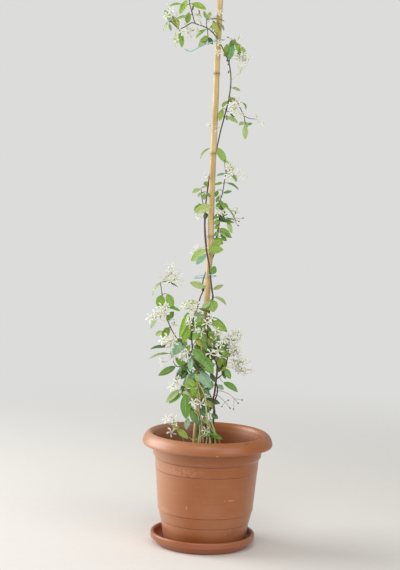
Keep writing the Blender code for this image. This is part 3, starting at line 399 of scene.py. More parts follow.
# Soil
# Dark potting soil that fills the pot to two fingers below its rim: a lumpy surface of loose crumbs
# with a few white grains of perlite.
SOIL_TOP = 190.0
SOIL_SUNK = 1.2
SOIL_DROP = 4.0
SOIL_LUMPS = [(2.4, 61, 3), (1.6, 23, 4), (1.0, 9, 5)]  # height, length and the draw that lays them
SOIL_OUTLINE = [(106.0, 186.0), (100.8, 176.0), (99.8, 154.0), (86.0, 50.0), (78.1, 9.2), (1.0, 9.2)]
SOIL_RINGS = 60
SOIL_STEPS = 120
SOIL_SEED = 11
SOIL_TONE = 0.15
SOIL_RELIEF = 0.0012
CRUMB_COUNT = 900
CRUMB_REACH = 100.0
CRUMB_LEAST, CRUMB_MORE = 0.9, 3.2
CRUMB_TILTS = (0.25, 0.42, 0.62, 0.8)
CRUMB_AROUND = 7
CRUMB_ROUGH, CRUMB_LONG = (0.7, 1.15), (0.7, 1.5)
CRUMB_WIDE, CRUMB_FLAT = 0.9, 0.7
CRUMB_LEANS = (-0.5, 0.5)
CRUMB_RISE = 0.1
CRUMB_SEED = 12
SOIL_DARK = (38, 27, 20)
SOIL_LIGHT = (92, 66, 46)
SOIL_PORES = (0.008, 0.006, 0.004, 1)
PERLITE = (205, 196, 180)


def lumps(x, y, size, seed):
    """A rolling height: the mean of sine waves of one length, in directions and at starts drawn by
    seed, so it lies between -1 and 1."""
    draw = np.random.default_rng(seed)
    way, start = draw.uniform(0, 2 * np.pi, (2, 9))
    wave = (x[..., None] * np.cos(way) + y[..., None] * np.sin(way)) * 2 * np.pi / size + start
    return np.sin(wave).mean(-1)


def soil_height(x, y):
    """The soil's surface: a low dome just under SOIL_TOP that falls by SOIL_DROP times the cube of
    the share of the way to the pot's wall, with lumps of three sizes, half as high at the wall."""
    rim = np.hypot(x - POT_CENTRE_X, y) / SOIL_OUTLINE[0][0]
    rough = sum(rise * lumps(x, y, size, seed) for rise, size, seed in SOIL_LUMPS)
    return SOIL_TOP - SOIL_SUNK - SOIL_DROP * rim ** 3 + rough * (1 - 0.5 * rim)


soil_radius = SOIL_OUTLINE[0][0] * np.linspace(0.01, 1.0, SOIL_RINGS)
soil_top = spun(np.stack([soil_radius, 0 * soil_radius], -1), SOIL_STEPS, POT_CENTRE_X)
soil_top[..., 2] = soil_height(soil_top[..., 0], soil_top[..., 1])
soil_under = spun(np.array(SOIL_OUTLINE[1:]), SOIL_STEPS, POT_CENTRE_X)
soil_spots = np.concatenate([soil_top, soil_under])
soil_faces = grid_faces(*soil_spots.shape[:2])


def pebbles(centres, sizes, seed):
    """Rough crumbs: for each, a ball of a few rings, whose radius at each corner is a drawn share
    of its size, flattened, lengthened, turned and tilted by its own draw."""
    draw = np.random.default_rng(seed)
    count, rings = len(centres), len(CRUMB_TILTS)
    tilt = np.array(CRUMB_TILTS)[:, None] * np.pi
    angle = turns(CRUMB_AROUND)[None]
    ball = np.stack([np.sin(tilt) * np.cos(angle), np.sin(tilt) * np.sin(angle),
                     np.cos(tilt) + 0 * angle], -1)
    size = draw.uniform(*CRUMB_ROUGH, (count, rings, CRUMB_AROUND, 1)) * np.reshape(sizes, (-1, 1, 1, 1))
    longer = draw.uniform(*CRUMB_LONG, (count, 1, 1, 1)) * np.array([1.0, 0.0, 0.0])
    lengths = longer + [0.0, CRUMB_WIDE, CRUMB_FLAT]
    turned = draw.uniform(0, 2 * np.pi, (count, 1, 1))
    spot = ball * size * lengths
    x = spot[..., 0] * np.cos(turned) - spot[..., 1] * np.sin(turned)
    y = spot[..., 0] * np.sin(turned) + spot[..., 1] * np.cos(turned)
    lean = draw.uniform(*CRUMB_LEANS, (count, 1, 1))
    spots = np.stack([x, y, spot[..., 2] + lean * x], -1) + np.reshape(centres, (-1, 1, 1, 3))
    return spots.reshape(-1, 3), many_faces(count, rings, CRUMB_AROUND)


def attribute_of(tree, name, output="Fac"):
    """The value, or with "Color" the colour, that a mesh attribute carries."""
    return add(tree, "Attribute", attribute_name=name).outputs[output]


def soil_finish():
    """Damp soil: dark brown crumbs and paler dry ones by a per-crumb attribute and noise."""
    made, tree, shader = finish_of("potting_soil", Roughness=0.92)
    where = own_places(tree)
    tone = attribute_of(tree, "crumb_tone")
    grain = noise(tree, where, 330.0, 4.0, 0.7)
    patch = noise(tree, where, 60.0, 2.0)
    share = plus(tree, times(tree, tone, 0.7), spread(tree, patch, 0.4, 0.7, 0, 0.4))
    colour = mixed(tree, share, paint(*SOIL_DARK), paint(*SOIL_LIGHT))
    colour = mixed(tree, spread(tree, tone, 0.94, 0.97), colour, paint(*PERLITE))
    colour = mixed(tree, spread(tree, grain, 0.45, 0.65, 0.0, 0.55), colour, SOIL_PORES)
    dress(tree, shader, colour, grain, SOIL_RELIEF)
    return made


SOIL_FINISH = soil_finish()
soil_draw = np.random.default_rng(SOIL_SEED)
piece("soil_bed", soil_spots, soil_faces, SOIL_FINISH, ["soil"],
      {"crumb_tone": np.full(SOIL_STEPS * len(soil_spots), SOIL_TONE)})
crumb_reach = CRUMB_REACH * np.sqrt(soil_draw.uniform(0, 1, CRUMB_COUNT))
crumb_turn = soil_draw.uniform(0, 2 * np.pi, CRUMB_COUNT)
crumb_x = POT_CENTRE_X + crumb_reach * np.cos(crumb_turn)
crumb_y = crumb_reach * np.sin(crumb_turn)
crumb_size = CRUMB_LEAST + CRUMB_MORE * soil_draw.uniform(0, 1, CRUMB_COUNT) ** 3
crumb_z = soil_height(crumb_x, crumb_y) + CRUMB_RISE * crumb_size
crumb_centres = np.stack([crumb_x, crumb_y, crumb_z], -1)
crumb_spots, crumb_faces = pebbles(crumb_centres, crumb_size, CRUMB_SEED)
crumb_tone = np.repeat(soil_draw.uniform(0, 1, CRUMB_COUNT), len(CRUMB_TILTS) * CRUMB_AROUND)
piece("soil_crumbs", crumb_spots, crumb_faces, SOIL_FINISH, (), {"crumb_tone": crumb_tone})

# Bamboo cane
# A dried bamboo cane pushed down to the pot's floor: straw-coloured skin with fine lengthwise
# fibres, a raised ring and a dark scar at each node, and a hollow sawn top end whose inside carries
# painted shade in the scar colour.
CANE_ROUTE = [(-33, 8, 16), (-22, 7, 190), (-19, 6, 240), (-11.5, 2, 358.5), (-7, 0, 515),
              (-4.5, 0, 595), (-5, 0, 694.5), (-5, 0, 793.5), (-4, 0, 891.5), (-4, 0, 970),
              (-2.5, 0, 1086.5), (-1, 0, 1185)]
CANE_PIECES = 40
CANE_STEPS = 24
CANE_RADIUS = 6.1
CANE_NODES = np.array([282, 455, 623, 788, 945, 1100])
CANE_NODE_RISE = 0.75
CANE_NODE_SPREAD = 2.2
CANE_DIP, CANE_DIP_AT, CANE_DIP_SPREAD = 0.25, -6.0, 3.0
CANE_SCAR_AT, CANE_SCAR_SPREAD = 1.6, 0.9
CANE_HALO, CANE_HALO_SPREAD = 0.35, 5.0
CANE_BORE = 3.2
CANE_BORE_DEPTH = 14.0
# The hollow top's inside takes the scar colour: painted shade.
CANE_BORE_SHADE = (0.9, 1, 1)
CANE_SKIN = (220, 194, 140)
CANE_DARK = (172, 142, 86)
CANE_SCAR_AND_BORE_SHADE = (112, 74, 42)
CANE_FIBRES = 900.0
CANE_RELIEF = 0.0003


def smooth_path(points, pieces):
    """The Catmull-Rom curve through the points: between two of them a cubic whose slope at each is
    half the step between its neighbours, with the end points mirrored outwards."""
    route = np.array(points, float)
    ends = np.concatenate([[2 * route[0] - route[1]], route, [2 * route[-1] - route[-2]]])
    a, b, c, d = (ends[k:len(ends) - 3 + k, None] for k in range(4))
    t = (np.arange(pieces) / pieces)[None, :, None]
    spans = 0.5 * (2 * b + (c - a) * t + (2 * a - 5 * b + 4 * c - d) * t ** 2
                   + (3 * b - a - 3 * c + d) * t ** 3)
    return np.concatenate([spans.reshape(-1, 3), route[-1:]])


def unit(ways):
    """Directions made one long."""
    return ways / np.maximum(np.linalg.norm(ways, axis=-1, keepdims=True), 1e-9)


def tube_rings(path, radius, around):
    """A circle carried along a path: at each point, radius times the cosine and sine of even turns in
    the plane square to the path, whose first direction follows the axis that the path least follows."""
    ahead = unit(np.gradient(path, axis=0))
    axis = np.eye(3)[np.abs(ahead).max(0).argmin()]
    first = unit(axis - ahead * (ahead @ axis)[:, None])
    second = np.cross(ahead, first)
    angle = turns(around)[:, None]
    radius = np.broadcast_to(radius, len(path))[:, None, None]
    return path[:, None] + (first[:, None] * np.cos(angle) + second[:, None] * np.sin(angle)) * radius


def at_nodes(rise, above, reach):
    """One at a height above the nearest of the cane's nodes, and less away from it by a bell curve:
    e to the minus square of the distance over the reach."""
    return np.exp(-((rise - above) / reach) ** 2).max(1)


def fibre_group():
    """Plant fibre: fine streaks that run along local Z, with broken darker lines, as mask and height."""
    tree, given = new_group("Plant fibre", {"Vector": "Vector", "Fineness": "Float"},
                            {"Streaks": "Float", "Blotches": "Float", "Height": "Float"})
    fine = mapped(tree, given["Vector"], Scale=(1.0, 1.0, 0.03))
    streaks = noise(tree, fine, given["Fineness"], 3.0, 0.6)
    blotch = noise(tree, mapped(tree, given["Vector"], Scale=(1.0, 1.0, 0.35)), 60.0, 3.0)
    return give_out(tree, {
        "Streaks": spread(tree, streaks, *PATCHES), "Blotches": spread(tree, blotch, *PATCHES),
        "Height": plus(tree, times(tree, streaks, 0.7), times(tree, blotch, 0.3))})


def cane_finish():
    """Straw-coloured skin, streaked and blotched, with dark scars at the nodes and painted shade inside
    the hollow top, both by one attribute.
    """
    made, tree, shader = finish_of("bamboo_skin", Coat_Weight=0.12, Coat_Roughness=0.4)
    fibre = grouped(tree, FIBRE, Fineness=CANE_FIBRES)
    dark = paint(*CANE_DARK)
    colour = mixed(tree, times(tree, fibre["Blotches"], 0.65), paint(*CANE_SKIN), dark)
    colour = mixed(tree, times(tree, fibre["Streaks"], 0.35), colour, dark)
    colour = mixed(tree, attribute_of(tree, "scar_and_bore_shade"), colour, paint(*CANE_SCAR_AND_BORE_SHADE))
    rough = spread(tree, fibre["Blotches"], 0.0, 1.0, 0.38, 0.55)
    dress(tree, shader, colour, fibre["Height"], CANE_RELIEF, rough)
    return made


FIBRE = fibre_group()
CANE_FINISH = cane_finish()
cane_path = smooth_path(CANE_ROUTE, CANE_PIECES)
cane_rise = cane_path[:, 2, None] - CANE_NODES
cane_radius = (CANE_RADIUS + CANE_NODE_RISE * at_nodes(cane_rise, 0.0, CANE_NODE_SPREAD)
               - CANE_DIP * at_nodes(cane_rise, CANE_DIP_AT, CANE_DIP_SPREAD))
cane_scar = (at_nodes(cane_rise, CANE_SCAR_AT, CANE_SCAR_SPREAD)
             + CANE_HALO * at_nodes(cane_rise, 0.0, CANE_HALO_SPREAD))
cane_outer = tube_rings(cane_path, cane_radius, CANE_STEPS)
bore_path = cane_path[-1] - np.array([[0, 0, share * CANE_BORE_DEPTH] for share in (0.0, 0.5, 1.0)])
cane_bore = tube_rings(bore_path, CANE_BORE, CANE_STEPS)[:, ::-1]
cane_spots = np.concatenate([cane_outer, np.roll(cane_bore, 1, 1)])
cane_scars_and_bore_shade = np.concatenate([np.clip(cane_scar, 0, 1), CANE_BORE_SHADE])
piece("cane", cane_spots, grid_faces(*cane_spots.shape[:2]), CANE_FINISH, ["bamboo_cane"],
      {"scar_and_bore_shade": np.repeat(cane_scars_and_bore_shade, CANE_STEPS)}, sharp=SHARP_FROM)

# Tie wires
# Two lengths of soft plastic-coated tie wire, pale turquoise, laid by hand round the cane and the
# stems with their ends left loose.
TIE_RADIUS = 0.8
TIE_STEPS = 10
TIE_PIECES = 8
TIE_COLOUR = (88, 184, 186)
TIE_RUBBED = (150, 210, 206)
TIE_RELIEF = 0.0002
TIE_UPPER = [(-68, -14, 990.5), (-59, -15, 986.5), (-53, -16, 987.5), (-41, -16, 994),
             (-26.5, -15.5, 1001), (-12.5, -14.2, 1006.5), (-3, -13.2, 1010), (5.5, -10.5, 1011.5),
             (9, -3, 1012), (3.5, 8, 1011.5), (-5.5, 9.5, 1010.5), (-13, 5, 1009), (-16, -3, 1006.5),
             (-14.5, -8.5, 1004)]
TIE_LOWER = [(-34, -5, 541.5), (-25.5, -9, 544), (-15.5, -13, 546.5), (-7.5, -13.55, 547),
             (-2, -13.65, 547.5), (5, -12.4, 546.5), (9, -5, 545), (7.5, 6, 543), (-0.5, 15, 541),
             (-11.5, 17, 539.5), (-21.5, 13, 538.5), (-29.5, 5, 538.5), (-33.5, -1.5, 538.5)]


def tie_finish():
    """Soft matte plastic with a faint cloudiness from handling."""
    made, tree, shader = finish_of("tie_plastic", Roughness=0.45)
    cloud = noise(tree, own_places(tree), 160.0, 3.0)
    pale = mixed(tree, spread(tree, cloud, *PATCHES), paint(*TIE_COLOUR), paint(*TIE_RUBBED))
    dress(tree, shader, pale, cloud, TIE_RELIEF)
    return made


TIE_FINISH = tie_finish()
for tie_name, tie_route in (("tie_upper", TIE_UPPER), ("tie_lower", TIE_LOWER)):
    tie_rings = tube_rings(smooth_path(tie_route, TIE_PIECES), TIE_RADIUS, TIE_STEPS)
    piece(tie_name + "_wire", tie_rings, grid_faces(*tie_rings.shape[:2]), TIE_FINISH,
          [tie_name])

# Main stem
# The oldest stem: it comes out of the soil, twines up the cane to its top and hangs over to the left.
# Thin dark bark over a wiry core, swollen where each leaf's stalk leaves it. The leaves are leathery
# and glossy with a sunken pale midrib, paler and dull below.
MAIN_ROUTES = [  # radius at the start and at the end, and the places that it runs through
    (2.1, 1, [
        (17, -4, 165), (17, -4, 196), (16, -5, 220), (14.5, -6, 252.5), (15, -6, 277.5),
        (12.5, -6, 295), (15, -6, 310), (17, -5, 334.5), (18.5, -5, 356.5), (16, -8, 373),
        (4.5, -11, 389), (-0.5, -11, 404), (-3.5, -11, 439), (-2.5, -11.5, 468), (4.5, -11, 499.5),
        (2.5, -11, 516.5), (-1, -11, 539), (-5, -10.5, 566), (-10.5, -9.5, 591.5), (-15.5, -5, 623),
        (-17.5, 0, 653.5), (-17, 4, 679), (-15, 8, 707), (-11.5, 11, 741.5), (-5.5, 12, 774.5),
        (2, 10.5, 804.5), (7.5, 6, 832.5), (14, 2, 860), (21, 0, 890.5), (24.5, -1, 921),
        (24, -2, 944.5), (19, -4, 969.5), (11, -8, 985.5), (0.5, -11, 1005.5), (-13, -9, 1023.5),
        (-27, -5, 1034), (-47.5, -4, 1040.5), (-56, -4, 1042), (-65, -4, 1035.5), (-78, -5, 1028.5),
        (-85, -6, 1032), (-95, -7, 1041.5)]),
    (1.1, 0.8, [
        (22, 0, 897.5), (30.5, -3, 898.5), (38, -5, 891), (47.5, -7, 875), (53, -8, 863.5),
        (55.5, -9, 852.5)]),
    (0.7, 0.6, [
        (52, -8, 865), (64, -9, 860), (75.5, -9, 859.5)]),
    (1, 0.7, [
        (-48.5, -4, 1040.5), (-52, -5, 1048), (-55, -6, 1059), (-60, -6, 1075), (-61.5, -5, 1084.5),
        (-60, -4, 1107), (-57, -4, 1129.5)]),
    (0.8, 0.6, [
        (20, -4, 966.5), (21.5, -1, 988), (23, 0, 1011.5)]),
    (0.8, 0.6, [
        (-26, -5, 1033), (-27.5, -5, 1042), (-27.5, -6, 1050.5)]),
    (0.8, 0.6, [
        (-25, -5, 1033), (-24, -3, 1018.5), (-23, -1, 1009), (-22, 0, 1001.5)]),
    (0.9, 0.7, [
        (-16, 3, 678), (-21, -1, 686), (-24, -3, 697), (-25.5, -4, 707), (-26.5, -4, 717.5)]),
    (1.2, 0.7, [
        (16.5, -5, 336.5), (28.5, -6, 347), (34, -6, 357), (38, -4, 378.5), (40, -2, 403.5),
        (42, 0, 423.5)])]
# One row for each leaf: where its blade starts (x, y, z); the way it points in the front view, in
# degrees from +X towards +Z; length; width; how far it leans to the front, arches from base to
# tip, and turns its face away from the front, in degrees; and its tone.
MAIN_LEAVES = [
    (-75.5, -8, 1076, 193, 27, 12, 10, 60, 60, "b"), (-66.5, -8, 1085, 247, 33, 15, 15, 20, 35, "b"),
    (-57, -9, 1078.5, 339, 33, 15, 10, 50, 35, "b"), (-54, -8, 1063, 79, 11, 4, 10, 0, 20, "o"),
    (-65, -7, 1040, 78, 23, 12, 20, 10, 10, "b"), (-70.5, -8, 1053, 196, 15, 9, 0, 10, 45, "p"),
    (-97.5, -9, 1044, 119, 22, 12, 10, 30, 30, "p"), (-101, -8, 1040, 244, 21, 7, -10, 30, 40, "p"),
    (-98, -10, 1036.5, 286, 16, 7, 20, 10, 30, "p"), (-80, -4, 1030.5, 119, 27, 14, -20, 10, 20, "y"),
    (-77, -8, 1022.5, 279, 33, 12, 15, 20, 25, "b"), (-80.5, -3, 1021, 256, 29, 10, -10, 20, 60, "p"),
    (-27.5, -10, 1030.5, 226, 30, 13, 15, 70, 50, "b"),
    (-24.5, -8, 1017, 233, 28, 14, 10, 15, 10, "p"), (-22.5, 3, 1016, 303, 17, 9, -25, 15, 10, "d"),
    (-27.5, -8, 1048.5, 107, 14, 7, 0, 10, 60, "p"), (-26, -9, 1049, 67, 15, 9, 0, 10, 40, "p"),
    (-21.5, -15, 1050.5, 351, 33, 11, 14, 50, 65, "o"),
    (-11.5, -14, 1034, 309, 20, 11, 12, 20, 30, "y"), (-13.5, -17, 1047, 290, 27, 12, 10, 15, 20, "y"),
    (20, -6, 974, 85, 37, 17, -6, 12, 8, "g"), (27.5, -2, 1010, 296, 33, 14, -6, 70, 45, "b"),
    (13.5, -12, 986, 85, 18, 9, 15, 10, 10, "b"), (27.5, -4, 919, 338, 19, 10, 10, 50, 50, "p"),
    (24, -4, 901.5, 281, 15, 7, 20, 10, 10, "o"), (19, -3, 892, 235, 18, 10, 20, 60, 40, "b"),
    (10, -2, 876.5, 259, 26, 12, 15, 20, 18, "b"), (18, -2, 862, 332, 29, 13, 15, 40, 50, "p"),
    (53, -13, 852.5, 217, 13, 8, 20, 20, 20, "p"), (56, -10, 845.5, 273, 28, 12, 12, 15, 10, "p"),
    (60, -9, 848, 14, 11, 6, -20, 10, 20, "m"), (48, -9, 891, 299, 19, 9, 10, 100, 65, "m"),
    (25, -2, 870, 322, 15, 7, -25, -40, 55, "d"), (-12, 13, 798.5, 230, 32, 11, 10, 80, 65, "o"),
    (2.5, 6, 800, 302, 37, 15, 18, 15, 15, "b"), (-27, -6, 719, 211, 19, 11, 15, 60, 40, "p"),
    (-26, -8, 710, 232, 11, 7, 10, 10, 20, "p"), (-19.5, -2, 709, 267, 15, 9, 25, 10, 10, "b"),
    (-15, 5, 723, 195, 13, 6, 10, 10, 50, "p"), (-4.5, -13.5, 685, 202, 37, 17, 12, 15, 10, "w"),
    (-23, -4, 686.5, 217, 22, 12, 15, 40, 45, "m"), (-7.5, -13.5, 597, 4, 31, 18, 12, 15, 28, "b"),
    (-15, -11, 598, 223, 37, 18, 12, 15, 10, "w"), (-12.5, -13, 588, 228, 30, 13, 24, 15, 20, "t"),
    (0.5, -14, 549.5, 66, 18, 14, 10, 10, 10, "m"), (-12, -14, 467.5, 208, 16, 10, 16, 15, 20, "t"),
    (5.5, -12, 519, 26, 22, 9, 10, 10, 15, "p"), (6.5, -13, 503, 330, 33, 12, 10, 85, 60, "p"),
    (0.5, -15, 497.5, 288, 26, 24, 22, 15, 5, "b"), (-12, -17, 460, 200, 19, 12, 14, 20, 25, "b"),
    (3, -14, 463, 320, 44, 17, 8, 18, 28, "m"), (4.5, -20, 455, 328, 34, 17, 6, 12, 15, "b"),
    (-0.5, -14, 434.5, 310, 26, 15, 0, 15, 10, "b"), (19, -8, 410, 327, 17, 13, 10, 10, 20, "m"),
    (29, -2, 419, 353, 25, 9, 10, 60, 70, "d"), (8.5, -8, 395, 350, 15, 9, 0, 10, 20, "m"),
    (15, -11, 384.5, 302, 17, 10, 10, 10, 20, "o"), (26, 1, 381, 299, 23, 13, -15, 15, 10, "b"),
    (33.5, 2, 390, 343, 13, 9, -20, 20, 30, "d"), (34.5, -9, 359.5, 300, 24, 13, 18, 15, 10, "m"),
    (32.5, -8, 331.5, 329, 36, 15, 12, 60, 42, "m"), (12.5, -12, 327, 215, 15, 10, 20, 10, 20, "t"),
    (22, -8, 326, 321, 14, 10, 10, 10, 20, "t"), (20, 8, 359, 30, 30, 15, -62, 25, 20, "d"),
    (-10.5, -8, 448.5, 208, 20, 12, 10, 15, 15, "b"), (-18, 8, 669, 287, 17, 11, -45, 20, 20, "d"),
    (25, -6, 1003.5, 61, 11, 11, 0, 20, 20, "o"), (-14.5, 16, 722.5, 120, 26, 13, -65, 20, 20, "o"),
    (17, 12, 860.5, 347, 9, 11, -60, 20, 20, "o"), (16.5, -6, 980.5, 116, 17, 10, 62, 20, 20, "o")]
MAIN_SEED = 21
STEM_PIECES = 6
STEM_AROUND = 12
OLD_STEM = 1.3
THIN_AGE, THIN_AGES = 0.55, 0.45
CLEAR_OF_SOIL = 8
JOINT_SWELL, JOINT_REACH = 0.35, 2.0
BARK_DARK = (74, 54, 46)
BARK_LIGHT = (118, 92, 74)
BARK_GREEN = (104, 112, 60)
BARK_RELIEF = 0.0005
# Tone 't' is a pale blue-green, partly the leaf's own green and partly a painted sheen: the sky's
# reflection on glossy leaves.
LEAF_TONES = {"b": (138, 172, 42), "m": (102, 148, 42), "d": (62, 102, 40), "p": (164, 180, 112),
              "y": (172, 176, 68), "o": (128, 140, 52), "t": (134, 170, 140), "w": (172, 194, 104),
              "g": (112, 162, 104)}
LEAF_SHADE, LEAF_TINT = (0.88, 1.12), (0.94, 1.06)
LEAF_DEEP = (0.62, 0.7, 0.6, 1)
LEAF_UNDER = (158, 184, 124)
LEAF_VEIN = (186, 206, 138)
LEAF_STALK = (124, 128, 66)
LEAF_VEINS = 8.0
VEIN_SLANT, VEIN_WANDER = 1.6, 0.35
VEIN_EDGE, VEIN_FADE = (0.02, 0.13), (0.75, 1.0)
RIB_EDGE = (0.03, 0.11)
LEAF_MOTTLE = 190.0
LEAF_GLOSS = 0.3
LEAF_RELIEF = 0.00035
STEM_FIBRES = 1500.0
PETIOLE_LEAST = 3.0
PETIOLE_RADIUS = 0.6
PETIOLE_THICK, PETIOLE_TAPER = 1.25, 0.45
BOW_SHARE = 0.45
LEAST_BEND = 0.001
PETIOLE_RINGS, BLADE_RINGS = 4, 15
PETIOLE_SHARES = np.arange(PETIOLE_RINGS) / PETIOLE_RINGS
BLADE_SHARES = 0.5 - 0.5 * np.cos(np.pi * np.linspace(0.0, 1.0, BLADE_RINGS))
BLADE_AROUND = 16
BLADE_ACROSS, BLADE_SKIN = np.cos(turns(BLADE_AROUND)), np.sin(turns(BLADE_AROUND))
BLADE_THICKNESS = 0.34
THIN_BELOW, THIN_LEAST = 1.2, 0.3
RIB_DEPTH, RIB_REACH = 0.5, 0.25
BLADE_WAIST = (0.7, 0.85)
BLADE_TIP = 0.12
BLADE_FOLD, BLADE_ROLL = (0.1, 0.24), (0.02, 0.1)
BLADE_WAVE, BLADE_WAVES, WAVE_STARTS = (0.02, 0.07), (9, 15), (0, 6)
EDGES_APART = 1.3

# The shoots don't lie in one plane: beyond SWING_START from the middle, in each band of height, one
# side of the plant (-1 left, 1 right) runs to the front (negative share) or to the back (positive).
SWING_START = 30.0
SWING_BLEND = 10.0
SWINGS = ((403, 608, -1, -0.55), (345, 403, -1, 0.5), (150, 345, -1, -0.3), (806, 1200, -1, -0.45),
          (329, 568, 1, 0.7), (150, 329, 1, -0.5), (708, 767, 1, -0.5), (806, 910, 1, 0.5))


def swing(points):
    """Places carried to the front or the back: each band adds its share of the distance past the
    start, faded in and out over the blend height at the band's two ends."""
    spots = np.array(points, float)
    x, y, z = spots[..., 0], spots[..., 1].copy(), spots[..., 2]
    for low, high, side, share in SWINGS:
        rise = np.clip((z - low) / SWING_BLEND + 0.5, 0, 1)
        fall = np.clip((high - z) / SWING_BLEND + 0.5, 0, 1)
        y += share * np.maximum(0, side * x - SWING_START) * rise * fall
    return np.stack([x, y, z], -1)


def nearest_on(routes, points):
    """For each point, the nearest place on the straight runs between the routes' points above the
    soil: the point's share of the way along each run, held between 0 and 1."""
    starts = np.concatenate([swing(route)[:-1] for _, _, route in routes])
    ends = np.concatenate([swing(route)[1:] for _, _, route in routes])
    above = ends[:, 2] > SOIL_TOP + CLEAR_OF_SOIL
    starts, ways = starts[above], (ends - starts)[above]
    share = ((points[:, None] - starts) * ways).sum(-1) / (ways ** 2).sum(-1)
    spots = starts + ways * np.clip(share, 0, 1)[..., None]
    closest = np.linalg.norm(spots - points[:, None], axis=-1).argmin(1)
    return spots[np.arange(len(points)), closest]


def leaf_frames(values):
    """For each leaf the way from base to tip, the way its face looks and the way across it. The face
    is the front, squared to the leaf's own way and turned about it, upwards, by the row's angle."""
    aim, lean, face = np.radians(values[:, [3, 6, 8]]).T
    chord = np.stack([np.cos(aim) * np.cos(lean), -np.sin(lean), np.sin(aim) * np.cos(lean)], -1)
    front = unit(np.array([0.0, -1.0, 0.0]) + chord * chord[:, 1, None])
    square = np.cross(chord, front)
    turn = np.where(square[:, 2] < 0, -face, face)[:, None]
    up = front * np.cos(turn) + square * np.sin(turn)
    return chord, up, np.cross(up, chord)


def leaf_blades(base, frames, length, width, bend, draw):
    """Blades as rings along a midrib that is an arc of the angle bend. Half the width at a share u of
    the length is u to the 0.7 times (1-u) to the 0.85, scaled to the leaf's width; across it the
    blade is a shallow V with waved, slightly rolled edges, and a rib that thins out below."""
    chord, up, side = frames
    u = BLADE_SHARES[None]
    angle = bend * (u - 0.5)
    forth = (np.sin(angle) + np.sin(bend / 2)) / bend
    rise = (np.cos(angle) - np.cos(bend / 2)) / bend
    middle = base[:, None] + length * (chord[:, None] * forth[..., None] + up[:, None] * rise[..., None])
    normal = up[:, None] * np.cos(angle)[..., None] + chord[:, None] * np.sin(angle)[..., None]
    grow, fade = BLADE_WAIST
    peak = grow / (grow + fade)
    shape = u ** grow * (1 - u) ** fade / (peak ** grow * (1 - peak) ** fade)
    least = np.where(u < 0.5, 0.5 * PETIOLE_RADIUS, BLADE_TIP)
    half = np.maximum(0.5 * width[..., 0] * shape, least)[..., None]
    outward = np.abs(BLADE_ACROSS)
    one_each = (len(base), 1, 1)
    fold = draw.uniform(*BLADE_FOLD, one_each)
    wave = draw.uniform(*BLADE_WAVE, one_each) * np.sin(
        draw.uniform(*BLADE_WAVES, one_each) * u[..., None] + draw.uniform(*WAVE_STARTS, one_each)
        + EDGES_APART * np.sign(BLADE_ACROSS))
    roll = draw.uniform(*BLADE_ROLL, one_each)
    flat = -fold * (1 - outward) - roll * outward ** 4 + wave * outward ** 2
    rib = RIB_DEPTH * (1 - u[..., None]) * np.clip(1 - outward / RIB_REACH, 0, 1) * (BLADE_SKIN < 0)
    thick = 0.5 * BLADE_THICKNESS * np.sign(BLADE_SKIN) * np.sqrt(np.abs(BLADE_SKIN)) - rib
    lift = (flat * half + thick * np.clip(half / THIN_BELOW, THIN_LEAST, 1))[..., None]
    breadth = (BLADE_ACROSS * half)[..., None]
    return middle[:, :, None] + side[:, None, None] * breadth + normal[:, :, None] * lift


def leaf_stalks(root, base, ahead, up):
    """Stalks as rings along a bent line from the stem to the blade's base, where it arrives along the
    blade, a quarter thicker than PETIOLE_RADIUS at the stem and a fifth thinner at the blade."""
    t = PETIOLE_SHARES[None, :, None]
    root, base = root[:, None], base[:, None]
    bow = base - ahead[:, None] * BOW_SHARE * np.linalg.norm(base - root, axis=-1, keepdims=True)
    along = unit(2 * (1 - t) * (bow - root) + 2 * t * (base - bow))
    stalk_up = unit(up[:, None] - along * (along * up[:, None]).sum(-1, keepdims=True))
    stalk_side = np.cross(stalk_up, along)
    thin = (PETIOLE_RADIUS * (PETIOLE_THICK - PETIOLE_TAPER * t))[..., None]
    return (bowed(root, bow, base, t)[:, :, None] + stalk_side[:, :, None] * BLADE_ACROSS[:, None] * thin
            + stalk_up[:, :, None] * BLADE_SKIN[:, None] * thin)


def leaf_lofts(rows, routes, seed):
    """Leaves as closed lofts, each a stalk from the nearest place on the routes and a blade, with
    attributes: the share along, below 0 on the stalk; the share across; the underside; the tone."""
    draw = np.random.default_rng(seed)
    values = np.array([row[:9] for row in rows], float)
    chord, up, side = leaf_frames(values)
    arch = np.radians(values[:, 7])
    bend = np.where(np.abs(arch) < LEAST_BEND, LEAST_BEND, arch)[:, None]
    ahead = chord * np.cos(bend / 2) + up * np.sin(bend / 2)
    base = swing(values[:, :3])
    root = nearest_on(routes, base)
    close = np.linalg.norm(base - root, axis=1) < PETIOLE_LEAST
    base[close] = root[close] + ahead[close] * PETIOLE_LEAST
    length, width = values[:, 4, None, None], values[:, 5, None, None]
    blades = leaf_blades(base, (chord, up, side), length, width, bend, draw)
    spots = np.concatenate([leaf_stalks(root, base, ahead, up), blades], 1)
    per_leaf = spots.shape[:3]
    shares = np.concatenate([PETIOLE_SHARES - 1, BLADE_SHARES])
    tones = np.array([paint(*LEAF_TONES[row[9]])[:3] for row in rows])
    tones = tones * draw.uniform(*LEAF_SHADE, (len(rows), 1)) * draw.uniform(*LEAF_TINT, (len(rows), 3))
    tones = np.concatenate([np.clip(tones, 0, 1), np.ones((len(rows), 1))], 1)
    attributes = {
        "leaf_tone": np.broadcast_to(tones[:, None, None], (*per_leaf, 4)).reshape(-1, 4),
        "leaf_along": np.broadcast_to(shares[:, None], per_leaf).ravel(),
        "leaf_across": np.broadcast_to(BLADE_ACROSS, per_leaf).ravel(),
        "leaf_under": np.broadcast_to(BLADE_SKIN < -0.01, per_leaf).ravel().astype(float)}
    return spots.reshape(-1, 3), many_faces(*per_leaf), attributes


